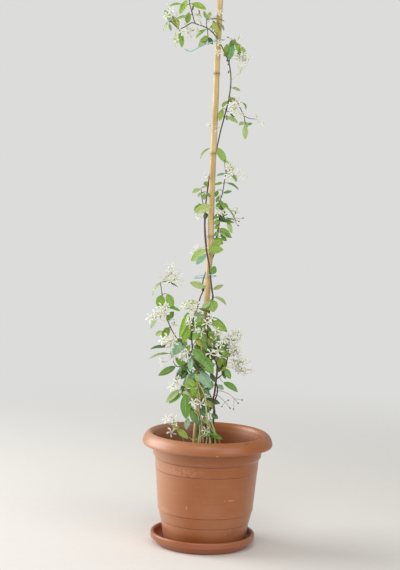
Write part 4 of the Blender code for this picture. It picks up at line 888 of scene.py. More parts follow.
def stem_lofts(routes, rows):
    """Stems as tubes along smooth routes. The radius runs evenly from the start's to the end's, with
    a swelling wherever a leaf's stalk is nearest. A thin stem's age sets out at THIN_AGE."""
    joints = nearest_on(routes, swing([row[:3] for row in rows]))
    spots, faces, ages = [], [], []
    for start, end, route in routes:
        path = smooth_path(swing(route), STEM_PIECES)
        gap = np.linalg.norm(path[:, None] - joints, axis=-1).min(1)
        travelled = np.cumsum([0.0, *np.linalg.norm(np.diff(path, axis=0), axis=1)])
        share = travelled / travelled[-1]
        swell = 1 + JOINT_SWELL * np.exp(-(gap / JOINT_REACH) ** 2)
        rings = tube_rings(path, (start + (end - start) * share) * swell, STEM_AROUND)
        faces += grid_faces(*rings.shape[:2], first=STEM_AROUND * sum(map(len, ages)))
        ages.append(share if start > OLD_STEM else THIN_AGE + THIN_AGES * share)
        spots.append(rings.reshape(-1, 3))
    return np.concatenate(spots), faces, {"stem_tip": np.repeat(np.concatenate(ages), STEM_AROUND)}


def bark_finish(name, old, light, tip):
    """Thin bark: streaked and blotched, turning to the tip's colour along the stem attribute."""
    made, tree, shader = finish_of(name)
    fibre = grouped(tree, FIBRE, Fineness=STEM_FIBRES)
    colour = mixed(tree, times(tree, fibre["Blotches"], 0.6), paint(*old), paint(*light))
    colour = mixed(tree, times(tree, fibre["Streaks"], 0.4), colour, paint(*light))
    young = spread(tree, attribute_of(tree, "stem_tip"), 0.6, 1.0, 0.0, 0.85)
    colour = mixed(tree, young, colour, paint(*tip))
    rough = spread(tree, fibre["Streaks"], 0.0, 1.0, 0.5, 0.7)
    dress(tree, shader, colour, fibre["Height"], BARK_RELIEF, rough)
    return made


def blade_group():
    """A leaf's surface from its own attributes: masks of the midrib, the side veins that run forward
    to the edge, and the underside, a mottle, and a height in which the veins are sunken."""
    tree, given = new_group(
        "Leaf surface", {"Vector": "Vector", "Veins": "Float"},
        {label: "Float" for label in ("Rib", "Side veins", "Under", "Stalk", "Mottle", "Height")})
    along = attribute_of(tree, "leaf_along")
    across = counted(tree, "ABSOLUTE", attribute_of(tree, "leaf_across"))
    rib = spread(tree, across, *RIB_EDGE, 1.0, 0.0)
    row = counted(tree, "SUBTRACT", times(tree, along, given["Veins"]), times(tree, across, VEIN_SLANT))
    row = plus(tree, row, times(tree, noise(tree, given["Vector"], 260.0, 1.0), VEIN_WANDER))
    near = counted(tree, "PINGPONG", row, 0.5)
    veins = times(tree, spread(tree, near, *VEIN_EDGE, 1.0, 0.0),
                  spread(tree, across, *VEIN_FADE, 1.0, 0.1))
    mottle = noise(tree, given["Vector"], LEAF_MOTTLE, 3.0, 0.6)
    bulge = plus(tree, times(tree, spread(tree, near, 0.0, 0.5), 0.5), times(tree, mottle, 0.3))
    dip = plus(tree, times(tree, rib, 0.8), times(tree, veins, 0.25))
    return give_out(tree, {
        "Rib": rib, "Side veins": veins, "Under": attribute_of(tree, "leaf_under"),
        "Stalk": spread(tree, along, -0.05, 0.02, 1.0, 0.0), "Mottle": mottle,
        "Height": counted(tree, "SUBTRACT", bulge, dip)})


def leaf_finish(name, gloss, under):
    """Leathery leaf: the leaf's own tone with paler rib and veins, a dull pale underside and a wax
    film whose gloss breaks up with the mottle."""
    made, tree, shader = finish_of(name, Coat_Weight=0.3, Coat_Roughness=0.3, Subsurface_Weight=0.22,
                                   Subsurface_Radius=(0.6, 1.0, 0.3), Subsurface_Scale=0.0015)
    given = grouped(tree, BLADE, Veins=LEAF_VEINS)
    tone = attribute_of(tree, "leaf_tone", "Color")
    deep = mixed(tree, 1.0, tone, LEAF_DEEP, "MULTIPLY")
    colour = mixed(tree, spread(tree, given["Mottle"], *PATCHES, 0.0, 0.32), tone, deep)
    for label, share, shade in (("Side veins", 0.22, LEAF_VEIN), ("Rib", 0.5, LEAF_VEIN),
                                ("Under", 0.6, under), ("Stalk", 0.7, LEAF_STALK)):
        colour = mixed(tree, times(tree, given[label], share), colour, paint(*shade))
    film = spread(tree, given["Mottle"], 0.3, 0.7, gloss, gloss + 0.12)
    rough = plus(tree, film, times(tree, given["Under"], 0.3))
    dress(tree, shader, colour, given["Height"], LEAF_RELIEF, rough)
    return made


def leafy_piece(node, routes, rows, bark, leaf, seed):
    """A stem and its leaves as two pieces, which together stand for one CAD node."""
    spots, faces, tips = stem_lofts(routes, rows)
    piece(node + "_bark", spots, faces, bark, [node], tips)
    spots, faces, marks = leaf_lofts(rows, routes, seed)
    piece(node + "_leaves", spots, faces, leaf, [node], marks)


BLADE = blade_group()
BARK_FINISH = bark_finish("stem_bark", BARK_DARK, BARK_LIGHT, BARK_GREEN)
LEAF_FINISH = leaf_finish("leaf_skin", LEAF_GLOSS, LEAF_UNDER)
leafy_piece("main_stem", MAIN_ROUTES, MAIN_LEAVES, BARK_FINISH, LEAF_FINISH, MAIN_SEED)

# Second stem
# A thinner stem that forks from the first low down, crosses the cane and ends half way up. Its long
# branch to the left and the one below it carry most of the bush.
SECOND_ROUTES = [
    (1.6, 0.9, [
        (14.5, -5.4, 339.5), (12, -5.6, 340), (5.5, -9, 349.5), (-5, -13, 361), (-20.5, -14, 371.5),
        (-27.5, -12, 377), (-35.5, -9, 386), (-33, -8, 398), (-34, -8, 411.5), (-35.5, -7, 437.5),
        (-33, -6, 456.5), (-25.5, -3, 480.5), (-21, 0, 499.5), (-16, 4, 514.5), (-17, 6, 532),
        (-10.5, 12, 555), (-0.5, 10.5, 576.5), (6, 6, 598), (8.5, 3, 623.5), (12.5, 0, 654.5),
        (12, -1, 668.5), (12, 0, 694), (16, 1, 710), (19, 1, 732), (21.5, 0, 750)]),
    (0.9, 0.8, [
        (-24.5, -13, 374), (-24.5, -15, 366.5), (-19.5, -16, 352.5)]),
    (1.2, 0.8, [
        (-35, -9, 388), (-45, -11, 397.5), (-60.5, -14, 416), (-72, -15, 434.5), (-78.5, -16, 448),
        (-84, -16, 465), (-88.5, -16, 481.5), (-92.5, -16, 498.5), (-96, -16, 519.5), (-98, -16, 530)]),
    (1, 0.7, [
        (-28.5, -12, 377), (-42, -6, 366.5), (-53.5, -3, 359), (-63, 0, 356.5), (-70, 0, 362.5),
        (-76, 0, 376.5), (-80.5, -1, 393)])]
SECOND_LEAVES = [
    (32, 0, 749, 305, 22, 11, 15, 80, 45, "p"), (19, -2, 749.5, 198, 17, 9, 15, 30, 55, "t"),
    (22, -1, 731, 333, 32, 10, 12, 70, 65, "m"), (18.5, 0, 730, 193, 19, 9, -20, 40, 55, "b"),
    (18, -1, 709.5, 12, 18, 8, 15, 30, 40, "m"), (9, -4, 704.5, 253, 16, 9, 30, 15, 40, "m"),
    (15, -3, 688.5, 336, 16, 12, 20, 10, 15, "b"), (9.5, -3, 691.5, 260, 18, 10, 35, 10, 20, "m"),
    (16, 1, 664.5, 20, 14, 7, -25, 10, 62, "d"), (19, -2, 654, 356, 24, 9, 10, 50, 50, "m"),
    (28.5, -4, 655, 292, 26, 10, 10, 15, 15, "p"), (19, 2, 688.5, 306, 48, 7, -8, 45, 60, "p"),
    (12.5, 0, 641, 324, 31, 15, 15, 20, 12, "b"), (15.5, 3, 630, 308, 15, 8, -20, 10, 20, "b"),
    (2.5, -3, 619, 334, 22, 15, 15, 15, 10, "b"), (-12.5, -2, 521.5, 164, 32, 14, 12, 15, 18, "p"),
    (-22.5, -6, 490, 189, 38, 14, 12, 60, 55, "p"), (-96.5, -13, 532, 239, 34, 13, 8, 75, 63, "p"),
    (-94, -10, 533.5, 340, 34, 11, -8, 50, 75, "d"), (-92, -19, 510, 260, 26, 19, 3, 15, 5, "b"),
    (-84.5, -19, 509, 298, 29, 16, 10, 20, 12, "b"), (-85.5, -18, 485.5, 343, 31, 12, 12, 35, 60, "m"),
    (-103, -16, 465.5, 246, 29, 9, -10, 20, 30, "p"), (-82, -18, 458.5, 53, 18, 12, 15, 10, 10, "m"),
    (-79, -13, 444, 240, 30, 16, -15, 15, 15, "b"), (-79.5, -2, 394, 188, 39, 12, 8, 60, 65, "d"),
    (-81, -3, 381.5, 197, 45, 11, 10, 50, 70, "p"), (-42, -10, 472.5, 253, 57, 15, 15, 22, 26, "b"),
    (-41, -14, 450.5, 257, 43, 18, 12, 18, 5, "b"), (-56.5, -18, 413.5, 248, 30, 20, 8, 18, 10, "t"),
    (-20, -14, 432, 232, 21, 14, 15, 15, 20, "b"), (-22, -15, 420, 294, 19, 13, 20, 15, 20, "y"),
    (-30.5, -16, 397.5, 314, 36, 22, 18, 20, 8, "m"),
    (-15.5, -22, 386.5, 308, 46, 23, 14, 20, 10, "m"),
    (-16.5, -20, 354.5, 307, 41, 22, 16, 20, 10, "t"), (-67.5, -3, 376, 320, 39, 15, 22, 18, 10, "b"),
    (-33.5, -16, 382.5, 268, 32, 13, 18, 15, 30, "t"), (-64.5, -1, 358, 209, 40, 14, 10, 18, 15, "m"),
    (-54.5, -6, 354.5, 306, 28, 14, -12, 15, 20, "d"), (-58, -3, 352.5, 258, 25, 10, -8, 15, 45, "d"),
    (-24.5, -12, 349, 227, 38, 16, -12, 18, 10, "t"), (-44, 2, 406.5, 200, 32, 16, -62, 25, 20, "m"),
    (-92.5, -8, 434, 215, 18, 10, -20, 20, 20, "p"), (-33, 2, 430.5, 130, 32, 16, -58, 25, 20, "m"),
    (-12, 10, 521.5, 242, 12, 9, 10, 15, 10, "d"), (12, 6, 664, 100, 24, 12, -65, 20, 20, "m"),
    (-74, 4, 379, 72, 11, 9, -20, 15, 20, "t")]
SECOND_SEED = 22

leafy_piece("second_stem", SECOND_ROUTES, SECOND_LEAVES, BARK_FINISH, LEAF_FINISH, SECOND_SEED)

# Young shoots
# Four soft shoots of this year, straight from the soil: thin pale green stems, and leaves that are
# thinner, paler and duller than the old ones.
YOUNG_STEM = (180, 192, 124)
YOUNG_STEM_LIGHT = (206, 212, 160)
YOUNG_TIP = (186, 202, 134)
YOUNG_UNDER = (180, 200, 150)
YOUNG_GLOSS = 0.38
YOUNG_SEED = 31
YOUNG_SHOOTS = {
    "young_shoot_left": ([
        (1.3, 0.8, [
            (-10, -20, 165), (-10, -20, 196), (-12, -21, 241.5), (-15, -21, 256.5), (-18, -22, 277),
            (-23, -22, 289), (-30, -22, 296.5), (-35, -21, 304.5), (-40.5, -20, 314.5),
            (-42, -20, 330.5), (-39, -21, 346.5)]),
        (0.8, 0.7, [
            (-16, -21, 267), (-21, -24, 275), (-26, -26, 279.5)]),
        (0.8, 0.7, [
            (-34, -21, 303.5), (-42, -22, 307), (-48.5, -23, 309), (-52, -24, 318.5)])], [
        (-39.5, -23, 337.5, 323, 23, 13, 15, 15, 15, "b"),
        (-31.5, -24, 314, 332, 20, 13, 20, 12, 15, "b"), (-54, -25, 319, 225, 38, 15, 10, 30, 35, "p"),
        (-51, -25, 309.5, 219, 33, 13, 20, 25, 30, "m"),
        (-42.5, -26, 307.5, 274, 49, 22, 12, 18, 6, "m"),
        (-29, -28, 277, 285, 27, 13, 12, 15, 15, "m"), (-21, -25, 269, 289, 26, 12, 22, 15, 15, "d"),
        (-35.5, -27, 260.5, 264, 26, 12, 30, 15, 15, "t"),
        (-13.5, -24, 281.5, 306, 22, 12, 20, 15, 15, "d"),
        (-33.5, -16, 302, 160, 26, 13, -50, 20, 20, "m")]),
    "young_shoot_middle": ([
        (1.2, 0.7, [
            (8, -16, 165), (8, -16, 196), (8.5, -16, 231.5), (4.5, -17, 252), (1, -18, 268),
            (-2, -19, 283), (-3, -19, 295.5), (-6, -20, 313.5), (-10, -22, 320.5), (-15, -23, 327.5)])], [
        (-4.5, -23, 322.5, 301, 18, 11, 22, 10, 15, "d"),
        (-0.5, -22, 294.5, 323, 19, 12, 22, 10, 15, "o"),
        (-4.5, -21, 263, 295, 16, 11, 22, 10, 15, "p"),
        (2.5, -19, 224.5, 350, 35, 12, 20, 75, 58, "m")]),
    "young_shoot_right": ([
        (1.2, 0.7, [
            (19, -13, 165), (19, -13, 196), (18, -13, 232.5), (15.5, -13, 240.5), (11.5, -13, 251.5),
            (7, -12, 263), (5, -11.5, 277)])], [
        (10.5, -15, 268, 330, 17, 11, 20, 15, 15, "d"),
        (19, -16, 230.5, 226, 12, 10, -10, 20, 20, "m")]),
    "low_shoot": ([
        (1.1, 0.7, [
            (-38, -22, 165), (-38, -22, 196), (-45, -24, 219), (-52.5, -26, 233), (-58.5, -27, 240.5)])], [
        (-56, -29, 240, 324, 30, 13, 20, 20, 12, "b"), (-59, -20, 237.5, 135, 11, 8, -30, 20, 20, "y")])}

YOUNG_BARK = bark_finish("young_stem_skin", YOUNG_STEM, YOUNG_STEM_LIGHT, YOUNG_TIP)
YOUNG_FINISH = leaf_finish("young_leaf_skin", YOUNG_GLOSS, YOUNG_UNDER)
for shoot_seed, (shoot, (shoot_routes, shoot_leaves)) in enumerate(YOUNG_SHOOTS.items(), YOUNG_SEED):
    leafy_piece(shoot, shoot_routes, shoot_leaves, YOUNG_BARK, YOUNG_FINISH, shoot_seed)

# Runners and side leaves
# Thin stems that climb among the others: dark woody strands, cream-coloured runners and soft pale
# ones. Small leaves fill the gaps between the larger ones and the back of the bush. All of them
# grow from the same plant, with its bark, skin and leaf.
CREAM_STEM = (206, 166, 128)
CREAM_STEM_LIGHT = (232, 206, 176)
PALE_RUNNERS = [  # radius at the start and at the end, depth y, and the places (x, z)
    (1.4, 1, -26, [
        (11, 182), (11, 207), (9.5, 223), (7, 241), (3, 261.5), (0.5, 281.5), (-2.5, 301.5),
        (-8, 315.5), (-15, 327), (-20.5, 339), (-24, 349)]),
    (1.2, 0.8, -22, [
        (-10, 182), (-10, 205), (-8.5, 221.5), (-7.5, 240), (-10, 262), (-16.5, 276), (-20, 287),
        (-26.5, 296), (-35.5, 308), (-45, 319)]),
    (1.2, 0.8, -30, [
        (-14, 182), (-14, 206.5), (-11.5, 233), (-13, 249), (-16, 265.5), (-22, 275), (-30.5, 285)]),
    (0.6, 0.5, -26, [
        (2.5, 249), (-1, 260), (-8, 268), (-16.5, 274.5)]),
    (1.2, 0.9, -18, [
        (30, 182), (30, 206), (24.5, 223), (17, 234), (12.5, 247), (8.5, 260), (5.5, 276), (2.5, 296.5)]),
    (1.1, 0.8, -36, [
        (2.5, 182), (2.5, 208.5), (4, 227), (3.5, 251), (1, 271), (-2.5, 291)]),
    (0.8, 0.7, -40, [
        (10.5, 182), (10.5, 209.5), (8, 227.5), (2, 231.5), (-6, 228), (-14, 221.5), (-23.5, 218),
        (-32, 224)]),
    (0.8, 0.6, -30, [
        (22, 182), (22, 208), (20, 220), (17.5, 232.5), (11, 242), (5.5, 256)])]
WOODY_STRANDS = [
    (1.7, 1.2, [
        (17.5, -8, 199.5), (14, -9, 244.5), (17, -9.5, 271), (11.5, -9, 291), (8, -10, 301.5),
        (3, -12, 312.5), (0, -14, 324)]),
    (1.4, 1, [
        (7.5, 2, 620.5), (9.5, -1, 634.5), (11.5, -3, 649), (12, -4, 663), (12.5, -4, 675),
        (12, -3, 688.5)]),
    (1.4, 1, [
        (-11.5, -8, 602.5), (-14, -7, 624), (-16, -4, 644), (-16, -2, 659.5), (-16.5, 2, 675.5)]),
    (1.6, 1.2, [
        (3, -14, 200), (0.5, -14, 234.5), (-2, -14, 255), (-6, -13, 273), (-9.5, -12, 291),
        (-13, -11, 306.5), (-16.5, -12, 323)]),
    (1.2, 0.9, [
        (14, -12, 340.5), (3, -24, 354), (-9.5, -32, 366.5), (-21.5, -34, 376.5), (-32, -34, 384)]),
    (1.2, 1, [
        (-13, -16, 342), (-19, -24, 355), (-24.5, -30, 368.5), (-30.5, -34, 382), (-37.5, -34, 395.5)]),
    (1.6, 1.2, [
        (12, -8, 287), (19, -9, 303.5), (20.5, -8.5, 320), (16, -8.5, 334), (19, -8, 348),
        (20, -8, 364.5)])]
CREAM_RUNNERS = [
    (1, 0.8, [
        (-3, -24, 202), (-6, -26, 236.5), (-9.5, -28, 257), (-15, -30, 275.5), (-21.5, -32, 290.5),
        (-32, -34, 305.5), (-44, -36, 320.5)]),
    (0.8, 0.6, [
        (-14, -30, 273.5), (-15, -31, 289.5), (-14, -32, 306), (-17.5, -33, 320), (-20.5, -33, 334)])]
SMALL_LEAVES = [  # rows as above, but without the lean, which is none
    (43.5, -8, 999.5, 295, 22, 9, 20, 20, "p"), (37.5, 4, 990.5, 280, 14, 7, 20, 10, "m"),
    (1.5, -12, 1041.5, 295, 15, 7, 50, 50, "t"), (54.5, -6, 855.5, 292, 12, 10, 10, 15, "p"),
    (12, -8, 669, 223, 15, 9, 20, 15, "m"), (12.5, -6, 657, 221, 14, 10, 15, 20, "b"),
    (12.5, -8, 665, 328, 13, 9, 30, 30, "d"), (11.5, -4, 647, 224, 12, 8, 20, 15, "b"),
    (11, -6, 633, 226, 12, 9, 20, 20, "m"), (17.5, -4, 623, 325, 13, 9, 20, 30, "m"),
    (23, -6, 632.5, 326, 19, 7, 30, 50, "m"), (16.5, -8, 617.5, 227, 24, 15, 20, 15, "b"),
    (15, -12, 669, 29, 11, 7, 20, 40, "d"), (-14, -16, 710, 313, 11, 6, 20, 10, "m"),
    (-17.5, -14, 470.5, 206, 15, 10, 20, 20, "p"), (-2, -20, 421.5, 297, 21, 10, 15, 20, "o"),
    (20.5, -6, 406.5, 352, 16, 12, 20, 25, "m"), (23, -12, 397.5, 341, 20, 10, 30, 40, "m"),
    (25, -16, 402, 299, 18, 9, 20, 15, "b"), (-49.5, -10, 413.5, 179, 20, 11, 20, 30, "o"),
    (-43.5, -8, 411.5, 227, 26, 13, 15, 15, "t"), (-24.5, -6, 419, 288, 19, 11, 15, 15, "m"),
    (-29.5, -12, 403.5, 322, 16, 9, 20, 25, "o"), (27.5, -12, 383.5, 257, 19, 8, 15, 15, "b"),
    (-77, -14, 437, 168, 12, 8, 30, 30, "y"), (-15, -28, 325.5, 184, 31, 14, 40, 35, "b"),
    (-55, -10, 356, 258, 25, 9, 15, 20, "t"), (9, -12, 334, 255, 20, 12, 20, 15, "b"),
    (-18, -30, 334, 109, 17, 8, 10, 20, "p"), (-24.5, -34, 324, 257, 20, 12, 15, 15, "b"),
    (-14.5, -10, 259.5, 290, 26, 10, 15, 15, "p"), (0.5, -10, 287, 261, 21, 10, 15, 20, "d"),
    (-3.5, -14, 240.5, 246, 14, 9, 20, 15, "d"), (-8.5, -24, 220, 354, 50, 8, 110, 62, "m"),
    (9.5, -30, 234, 218, 18, 8, 30, 40, "m"), (-52, -44, 245, 191, 13, 9, 30, 25, "y"),
    (15, -20, 230.5, 123, 12, 7, 20, 15, "d"), (28.5, -10, 355, 51, 12, 8, 20, 20, "b"),
    (24, -14, 361.5, 101, 20, 9, 15, 20, "o"), (-6.5, -12, 438.5, 206, 15, 9, 30, 30, "m"),
    (-37.5, -14, 405.5, 243, 16, 9, 20, 20, "b"), (4.5, -10, 402.5, 227, 17, 10, 20, 20, "d"),
    (-10, -6, 361, 209, 18, 10, 30, 30, "d"), (31, -8, 393, 322, 16, 9, 30, 30, "b"),
    (-42.5, -6, 352.5, 148, 15, 9, 20, 20, "m"), (14, -8, 416.5, 232, 19, 11, 20, 20, "m"),
    (-46.5, -2, 435, 300, 25, 12, 15, 15, "m"), (-11.5, -24, 415.5, 294, 24, 9, 15, 15, "m"),
    (-18, -22, 434, 303, 26, 11, 20, 20, "m"), (-7.5, -20, 421.5, 296, 22, 10, 15, 20, "d"),
    (0, -24, 495, 220, 21, 12, 20, 15, "p"), (-7, -20, 458.5, 211, 25, 9, 25, 20, "b"),
    (-98.5, -16, 1042, 115, 20, 8, 30, 30, "w"), (-91.5, -12, 1050, 293, 16, 6, 10, 15, "o"),
    (-37.5, -6, 389.5, 242, 16, 10, 20, 20, "d"), (2.5, -8, 351.5, 301, 21, 10, 20, 20, "d"),
    (-44.5, -4, 348, 237, 18, 10, 20, 20, "d"), (-66, -12, 1053.5, 194, 14, 7, 20, 20, "w"),
    (-26.5, -8, 1051, 111, 15, 7, 25, 10, "w"), (-25.5, -8, 1053, 67, 16, 6, 20, 10, "w"),
    (-20, -6, 1033.5, 33, 17, 9, 30, 40, "m"), (-24, -14, 1017.5, 227, 15, 10, 30, 15, "b"),
    (18.5, -10, 999.5, 218, 13, 9, 20, 20, "b"), (22.5, -8, 896.5, 351, 15, 9, 20, 20, "o"),
    (21, -8, 776.5, 304, 21, 5, 20, 10, "w"), (29, -6, 770.5, 289, 17, 5, 20, 10, "w"),
    (-21, -10, 676, 127, 16, 9, 20, 20, "m"), (-11, -18, 334.5, 248, 25, 11, 20, 20, "m"),
    (-20.5, -14, 350.5, 315, 19, 9, 20, 20, "d"), (-5, -16, 314, 241, 21, 10, 20, 20, "o"),
    (-6.5, -16, 291.5, 253, 22, 10, 20, 20, "d"), (-14.5, 4, 243, 286, 30, 10, 20, 20, "d"),
    (5.5, 0, 252.5, 260, 25, 9, 20, 20, "d"), (10, 6, 284.5, 246, 21, 9, 20, 20, "d"),
    (-34, 2, 283.5, 291, 22, 9, 20, 20, "d"), (-79.5, -30, 454, 95, 18, 9, 20, 20, "m"),
    (-11, -12, 445.5, 325, 20, 9, 20, 20, "m"), (12.5, -8, 430, 296, 20, 9, 20, 20, "m"),
    (28.5, -4, 404.5, 335, 16, 9, 20, 20, "m"), (-40.5, -12, 361.5, 299, 18, 9, 20, 20, "m"),
    (-54, -16, 350.5, 241, 22, 9, 20, 20, "d"), (28, -2, 356, 293, 20, 8, 20, 20, "m"),
    (13, -8, 386.5, 284, 19, 8, 20, 20, "o"), (-22, -12, 479, 346, 21, 6, 20, 20, "m"),
    (9, -2, 686.5, 315, 18, 9, 20, 20, "d"), (9, -2, 695.5, 317, 16, 9, 20, 20, "m"),
    (12, -2, 663.5, 314, 12, 8, 20, 20, "m"), (19, -4, 656, 10, 23, 5, 60, 30, "m"),
    (7, -2, 715.5, 251, 14, 8, 20, 20, "m")]
FILL_BANDS = [  # how many leaves, and the least and greatest x and z of where they start
    (22, (-34, 13), (346, 458)), (12, (-44, 2), (268, 346)), (5, (8, 34), (376, 420))]
FILL_DEPTH = (6, 30)
FILL_AIM_LEFT, FILL_AIM_RIGHT = (80, 400), (130, 260)
FILL_FORM = ((24, 34), (12, 17), (-25, 25), (10, 40), (10, 40))  # length, width, lean, arch and face
FILL_TONES = list("mmddobbm")
FILL_SEED = 7
SIDE_SEED = 41

PLANT_ROUTES = {"main_stem": MAIN_ROUTES, "second_stem": SECOND_ROUTES,
                **{shoot: routes for shoot, (routes, _) in YOUNG_SHOOTS.items()}}
CREAM_BARK = bark_finish("cream_stem_skin", CREAM_STEM, CREAM_STEM_LIGHT, CREAM_STEM)
pale_stems = [(start, end, [(x, deep, z) for x, z in line]) for start, end, deep, line in PALE_RUNNERS]
side_leaves = [(*row[:6], 0, *row[6:]) for row in SMALL_LEAVES]
for strand, routes, bark, slot in (("woody_strands", WOODY_STRANDS, BARK_FINISH, "leaf"),
                                   ("cream_runners", CREAM_RUNNERS, CREAM_BARK, "young_leaf"),
                                   ("pale_runners", pale_stems, YOUNG_BARK, "young_leaf")):
    spots, faces, tips = stem_lofts(routes, side_leaves)
    piece(strand, spots, faces, bark, (), tips)
fill_draw = np.random.default_rng(FILL_SEED)
for fill_count, fill_x, fill_z in FILL_BANDS:
    for _ in range(fill_count):
        start_x, depth = fill_draw.uniform(*fill_x), fill_draw.uniform(*FILL_DEPTH)
        height = fill_draw.uniform(*fill_z)
        aim = fill_draw.uniform(*(FILL_AIM_LEFT if start_x < 0 else FILL_AIM_RIGHT))
        form = [fill_draw.uniform(*span) for span in FILL_FORM]
        side_leaves.append((start_x, depth, height, aim, *form, fill_draw.choice(FILL_TONES)))
spots, faces, marks = leaf_lofts(side_leaves, sum(PLANT_ROUTES.values(), pale_stems), SIDE_SEED)
piece("side_leaves", spots, faces, LEAF_FINISH, (), marks)

# Flower sprays
# Loose sprays of white stars on thin green stalks. Each flower is one soft piece: a small green cup,
# a slender cream tube, and five petals turned like a propeller round a yellow throat.
SPRAYS = {  # name: the stem it leaves, where, its hub, how full blown its flowers are, and
    # where their centres are
    "spray_top_left": ("main_stem", (-89, -6.4, 1036), (-87.5, -14, 1046.5), 0.8, [
        (-95.5, -24, 1061), (-102.5, -27, 1050.5)]),
    "spray_top_middle": ("main_stem", (-63, -4, 1037), (-64.5, -14, 1030.5), 0.75, [
        (-72.5, -24, 1021.5), (-62.5, -26, 1020), (-55, -22, 1013.5)]),
    "spray_top_inner": ("main_stem", (-35.5, -4.5, 1037), (-36.5, -10, 1040), 0.65, [
        (-39, -20, 1044.5)]),
    "spray_top_right": ("main_stem", (-27, -5, 1041.5), (-20, 0, 1052), 0.7, [
        (-2.5, -17, 1064.5)]),
    "spray_cane_top": ("main_stem", (4.5, -10, 998.5), (3.5, -18, 996), 0.65, [
        (-1, -25, 1005), (-2, -24, 985)]),
    "spray_right_top": ("main_stem", (22.5, -0.4, 1001), (27, 6, 1011.5), 0.6, [
        (39, 0, 1020)]),
    "spray_right_upper": ("main_stem", (24.5, -1.5, 932.5), (42, -6, 948.5), 0.75, [
        (47, -16, 985), (47, -15, 966.5), (60, -10, 981)]),
    "spray_fork": ("main_stem", (31, -3, 898.5), (33, -12, 887.5), 0.75, [
        (28.5, -22, 883), (41, -20, 884), (46, -22, 867.5), (33.5, -24, 870.5)]),
    "spray_cane_middle": ("main_stem", (9, 5.2, 836.5), (2.5, -12, 840.5), 0.5, [
        (-17.5, -18, 845.5)]),
    "spray_outer_right": ("main_stem", (75, -9, 859.5), (80, -10, 857.5), 0.6, [
        (92, -14, 852)]),
    "spray_second_tip": ("second_stem", (21.5, 0, 747), (30, -8, 752.5), 0.75, [
        (27.5, -17, 762), (34.5, -16, 753.5), (26.5, -18, 742.5), (48.5, -12, 754), (57.5, -10, 746.5)]),
    "spray_middle_front": ("second_stem", (12, -1, 668.5), (10.5, -12, 669.5), 0.65, [
        (9.5, -22, 672)]),
    "spray_middle_left": ("main_stem", (-17.5, 1, 659.5), (-22, -4, 660.5), 0.6, [
        (-29.5, -12, 662.5)]),
    "spray_waist_left": ("main_stem", (-12.5, -8, 602), (-22.5, -14, 601.5), 0.55, [
        (-31, -20, 603.5), (-39, -18, 591.5)]),
    "spray_shoot_tip": ("second_stem", (-98, -16, 529.5), (-89, -25, 543.5), 1, [
        (-80.5, -28, 566.5), (-74, -31, 557), (-61.5, -28, 551.5), (-68, -36, 543.5),
        (-58.5, -32, 538), (-77, -38, 536)]),
    "spray_shoot_middle": ("second_stem", (-87, -16, 476), (-94.5, -24, 472), 1, [
        (-93.5, -34, 485.5), (-87, -36, 475), (-95, -38, 462.5), (-115, -28, 463), (-105, -32, 471)]),
    "spray_shoot_low": ("second_stem", (-66.5, -14.5, 425.5), (-73.5, -24, 419), 1, [
        (-90, -30, 419), (-80.5, -34, 424.5), (-68, -34, 414), (-78, -36, 404), (-66, -39, 397.5)]),
    "spray_heart": ("second_stem", (-27, -3.5, 475.5), (-33.5, -14, 474.5), 0.8, [
        (-51.5, -24, 486), (-42.5, -26, 490), (-33.5, -28, 480), (-26, -26, 488.5), (-36.5, -28, 467)]),
    "spray_heart_right": ("main_stem", (-3, -11.2, 456), (-4, -26, 453.5), 1, [
        (4, -36, 464), (-4.5, -38, 452), (-14.5, -34, 435.5)]),
    "spray_cream": ("main_stem", (-1, -11, 406), (11, -26, 419.5), 0.8, [
        (14, -37, 441), (25, -36, 433), (32, -34, 421), (25, -38, 411.5)]),
    "spray_right_far": ("main_stem", (41.5, -0.2, 420.5), (46, -2, 425.5), 0.7, [
        (60, -8, 429.5)]),
    "spray_low_front": ("main_stem", (1, -11, 399), (7, -24, 399), 1, [
        (5, -36, 392.5), (20, -34, 400)]),
    "spray_right_upper_haze": ("main_stem", (40, -2, 402.5), (46, -10, 403.5), 0.8, [
        (49, -16, 411), (58, -24, 402.5), (45.5, -20, 392.5)]),
    "spray_right_lower_haze": ("main_stem", (36.5, -4.8, 371), (57.5, -9, 368.5), 0.8, [
        (71, -20, 370), (52.5, -27, 368), (85, -17, 372), (73, -26, 352.5), (87, -14, 354)]),
    "spray_twig": ("second_stem", (-74.5, 0, 372.5), (-77.5, -8, 372), 1, [
        (-96.5, -14, 363.5), (-71.5, -20, 380.5)]),
    "spray_elbow": ("second_stem", (-46, -11, 398.5), (-46.5, -20, 395), 1, [
        (-50, -30, 382), (-40, -34, 391.5)]),
    "spray_young_left": ("young_shoot_left", (-52, -24, 318), (-52.5, -29, 328), 1, [
        (-59.5, -38, 330.5), (-70, -32, 324.5)]),
    "spray_young_inner": ("young_shoot_left", (-19, -22, 281), (-19, -28, 286), 0.85, [
        (-10.5, -38, 292), (-26.5, -43, 295.5)]),
    "spray_pot_left": ("low_shoot", (-58, -27, 239.5), (-62, -30, 245), 1, [
        (-77.5, -36, 260.5), (-63.5, -40, 262), (-66.5, -42, 234.5)]),
    "spray_pot_middle": ("young_shoot_middle", (8.5, -16, 227.5), (4.5, -22, 229.5), 0.85, [
        (0, -32, 237)])}
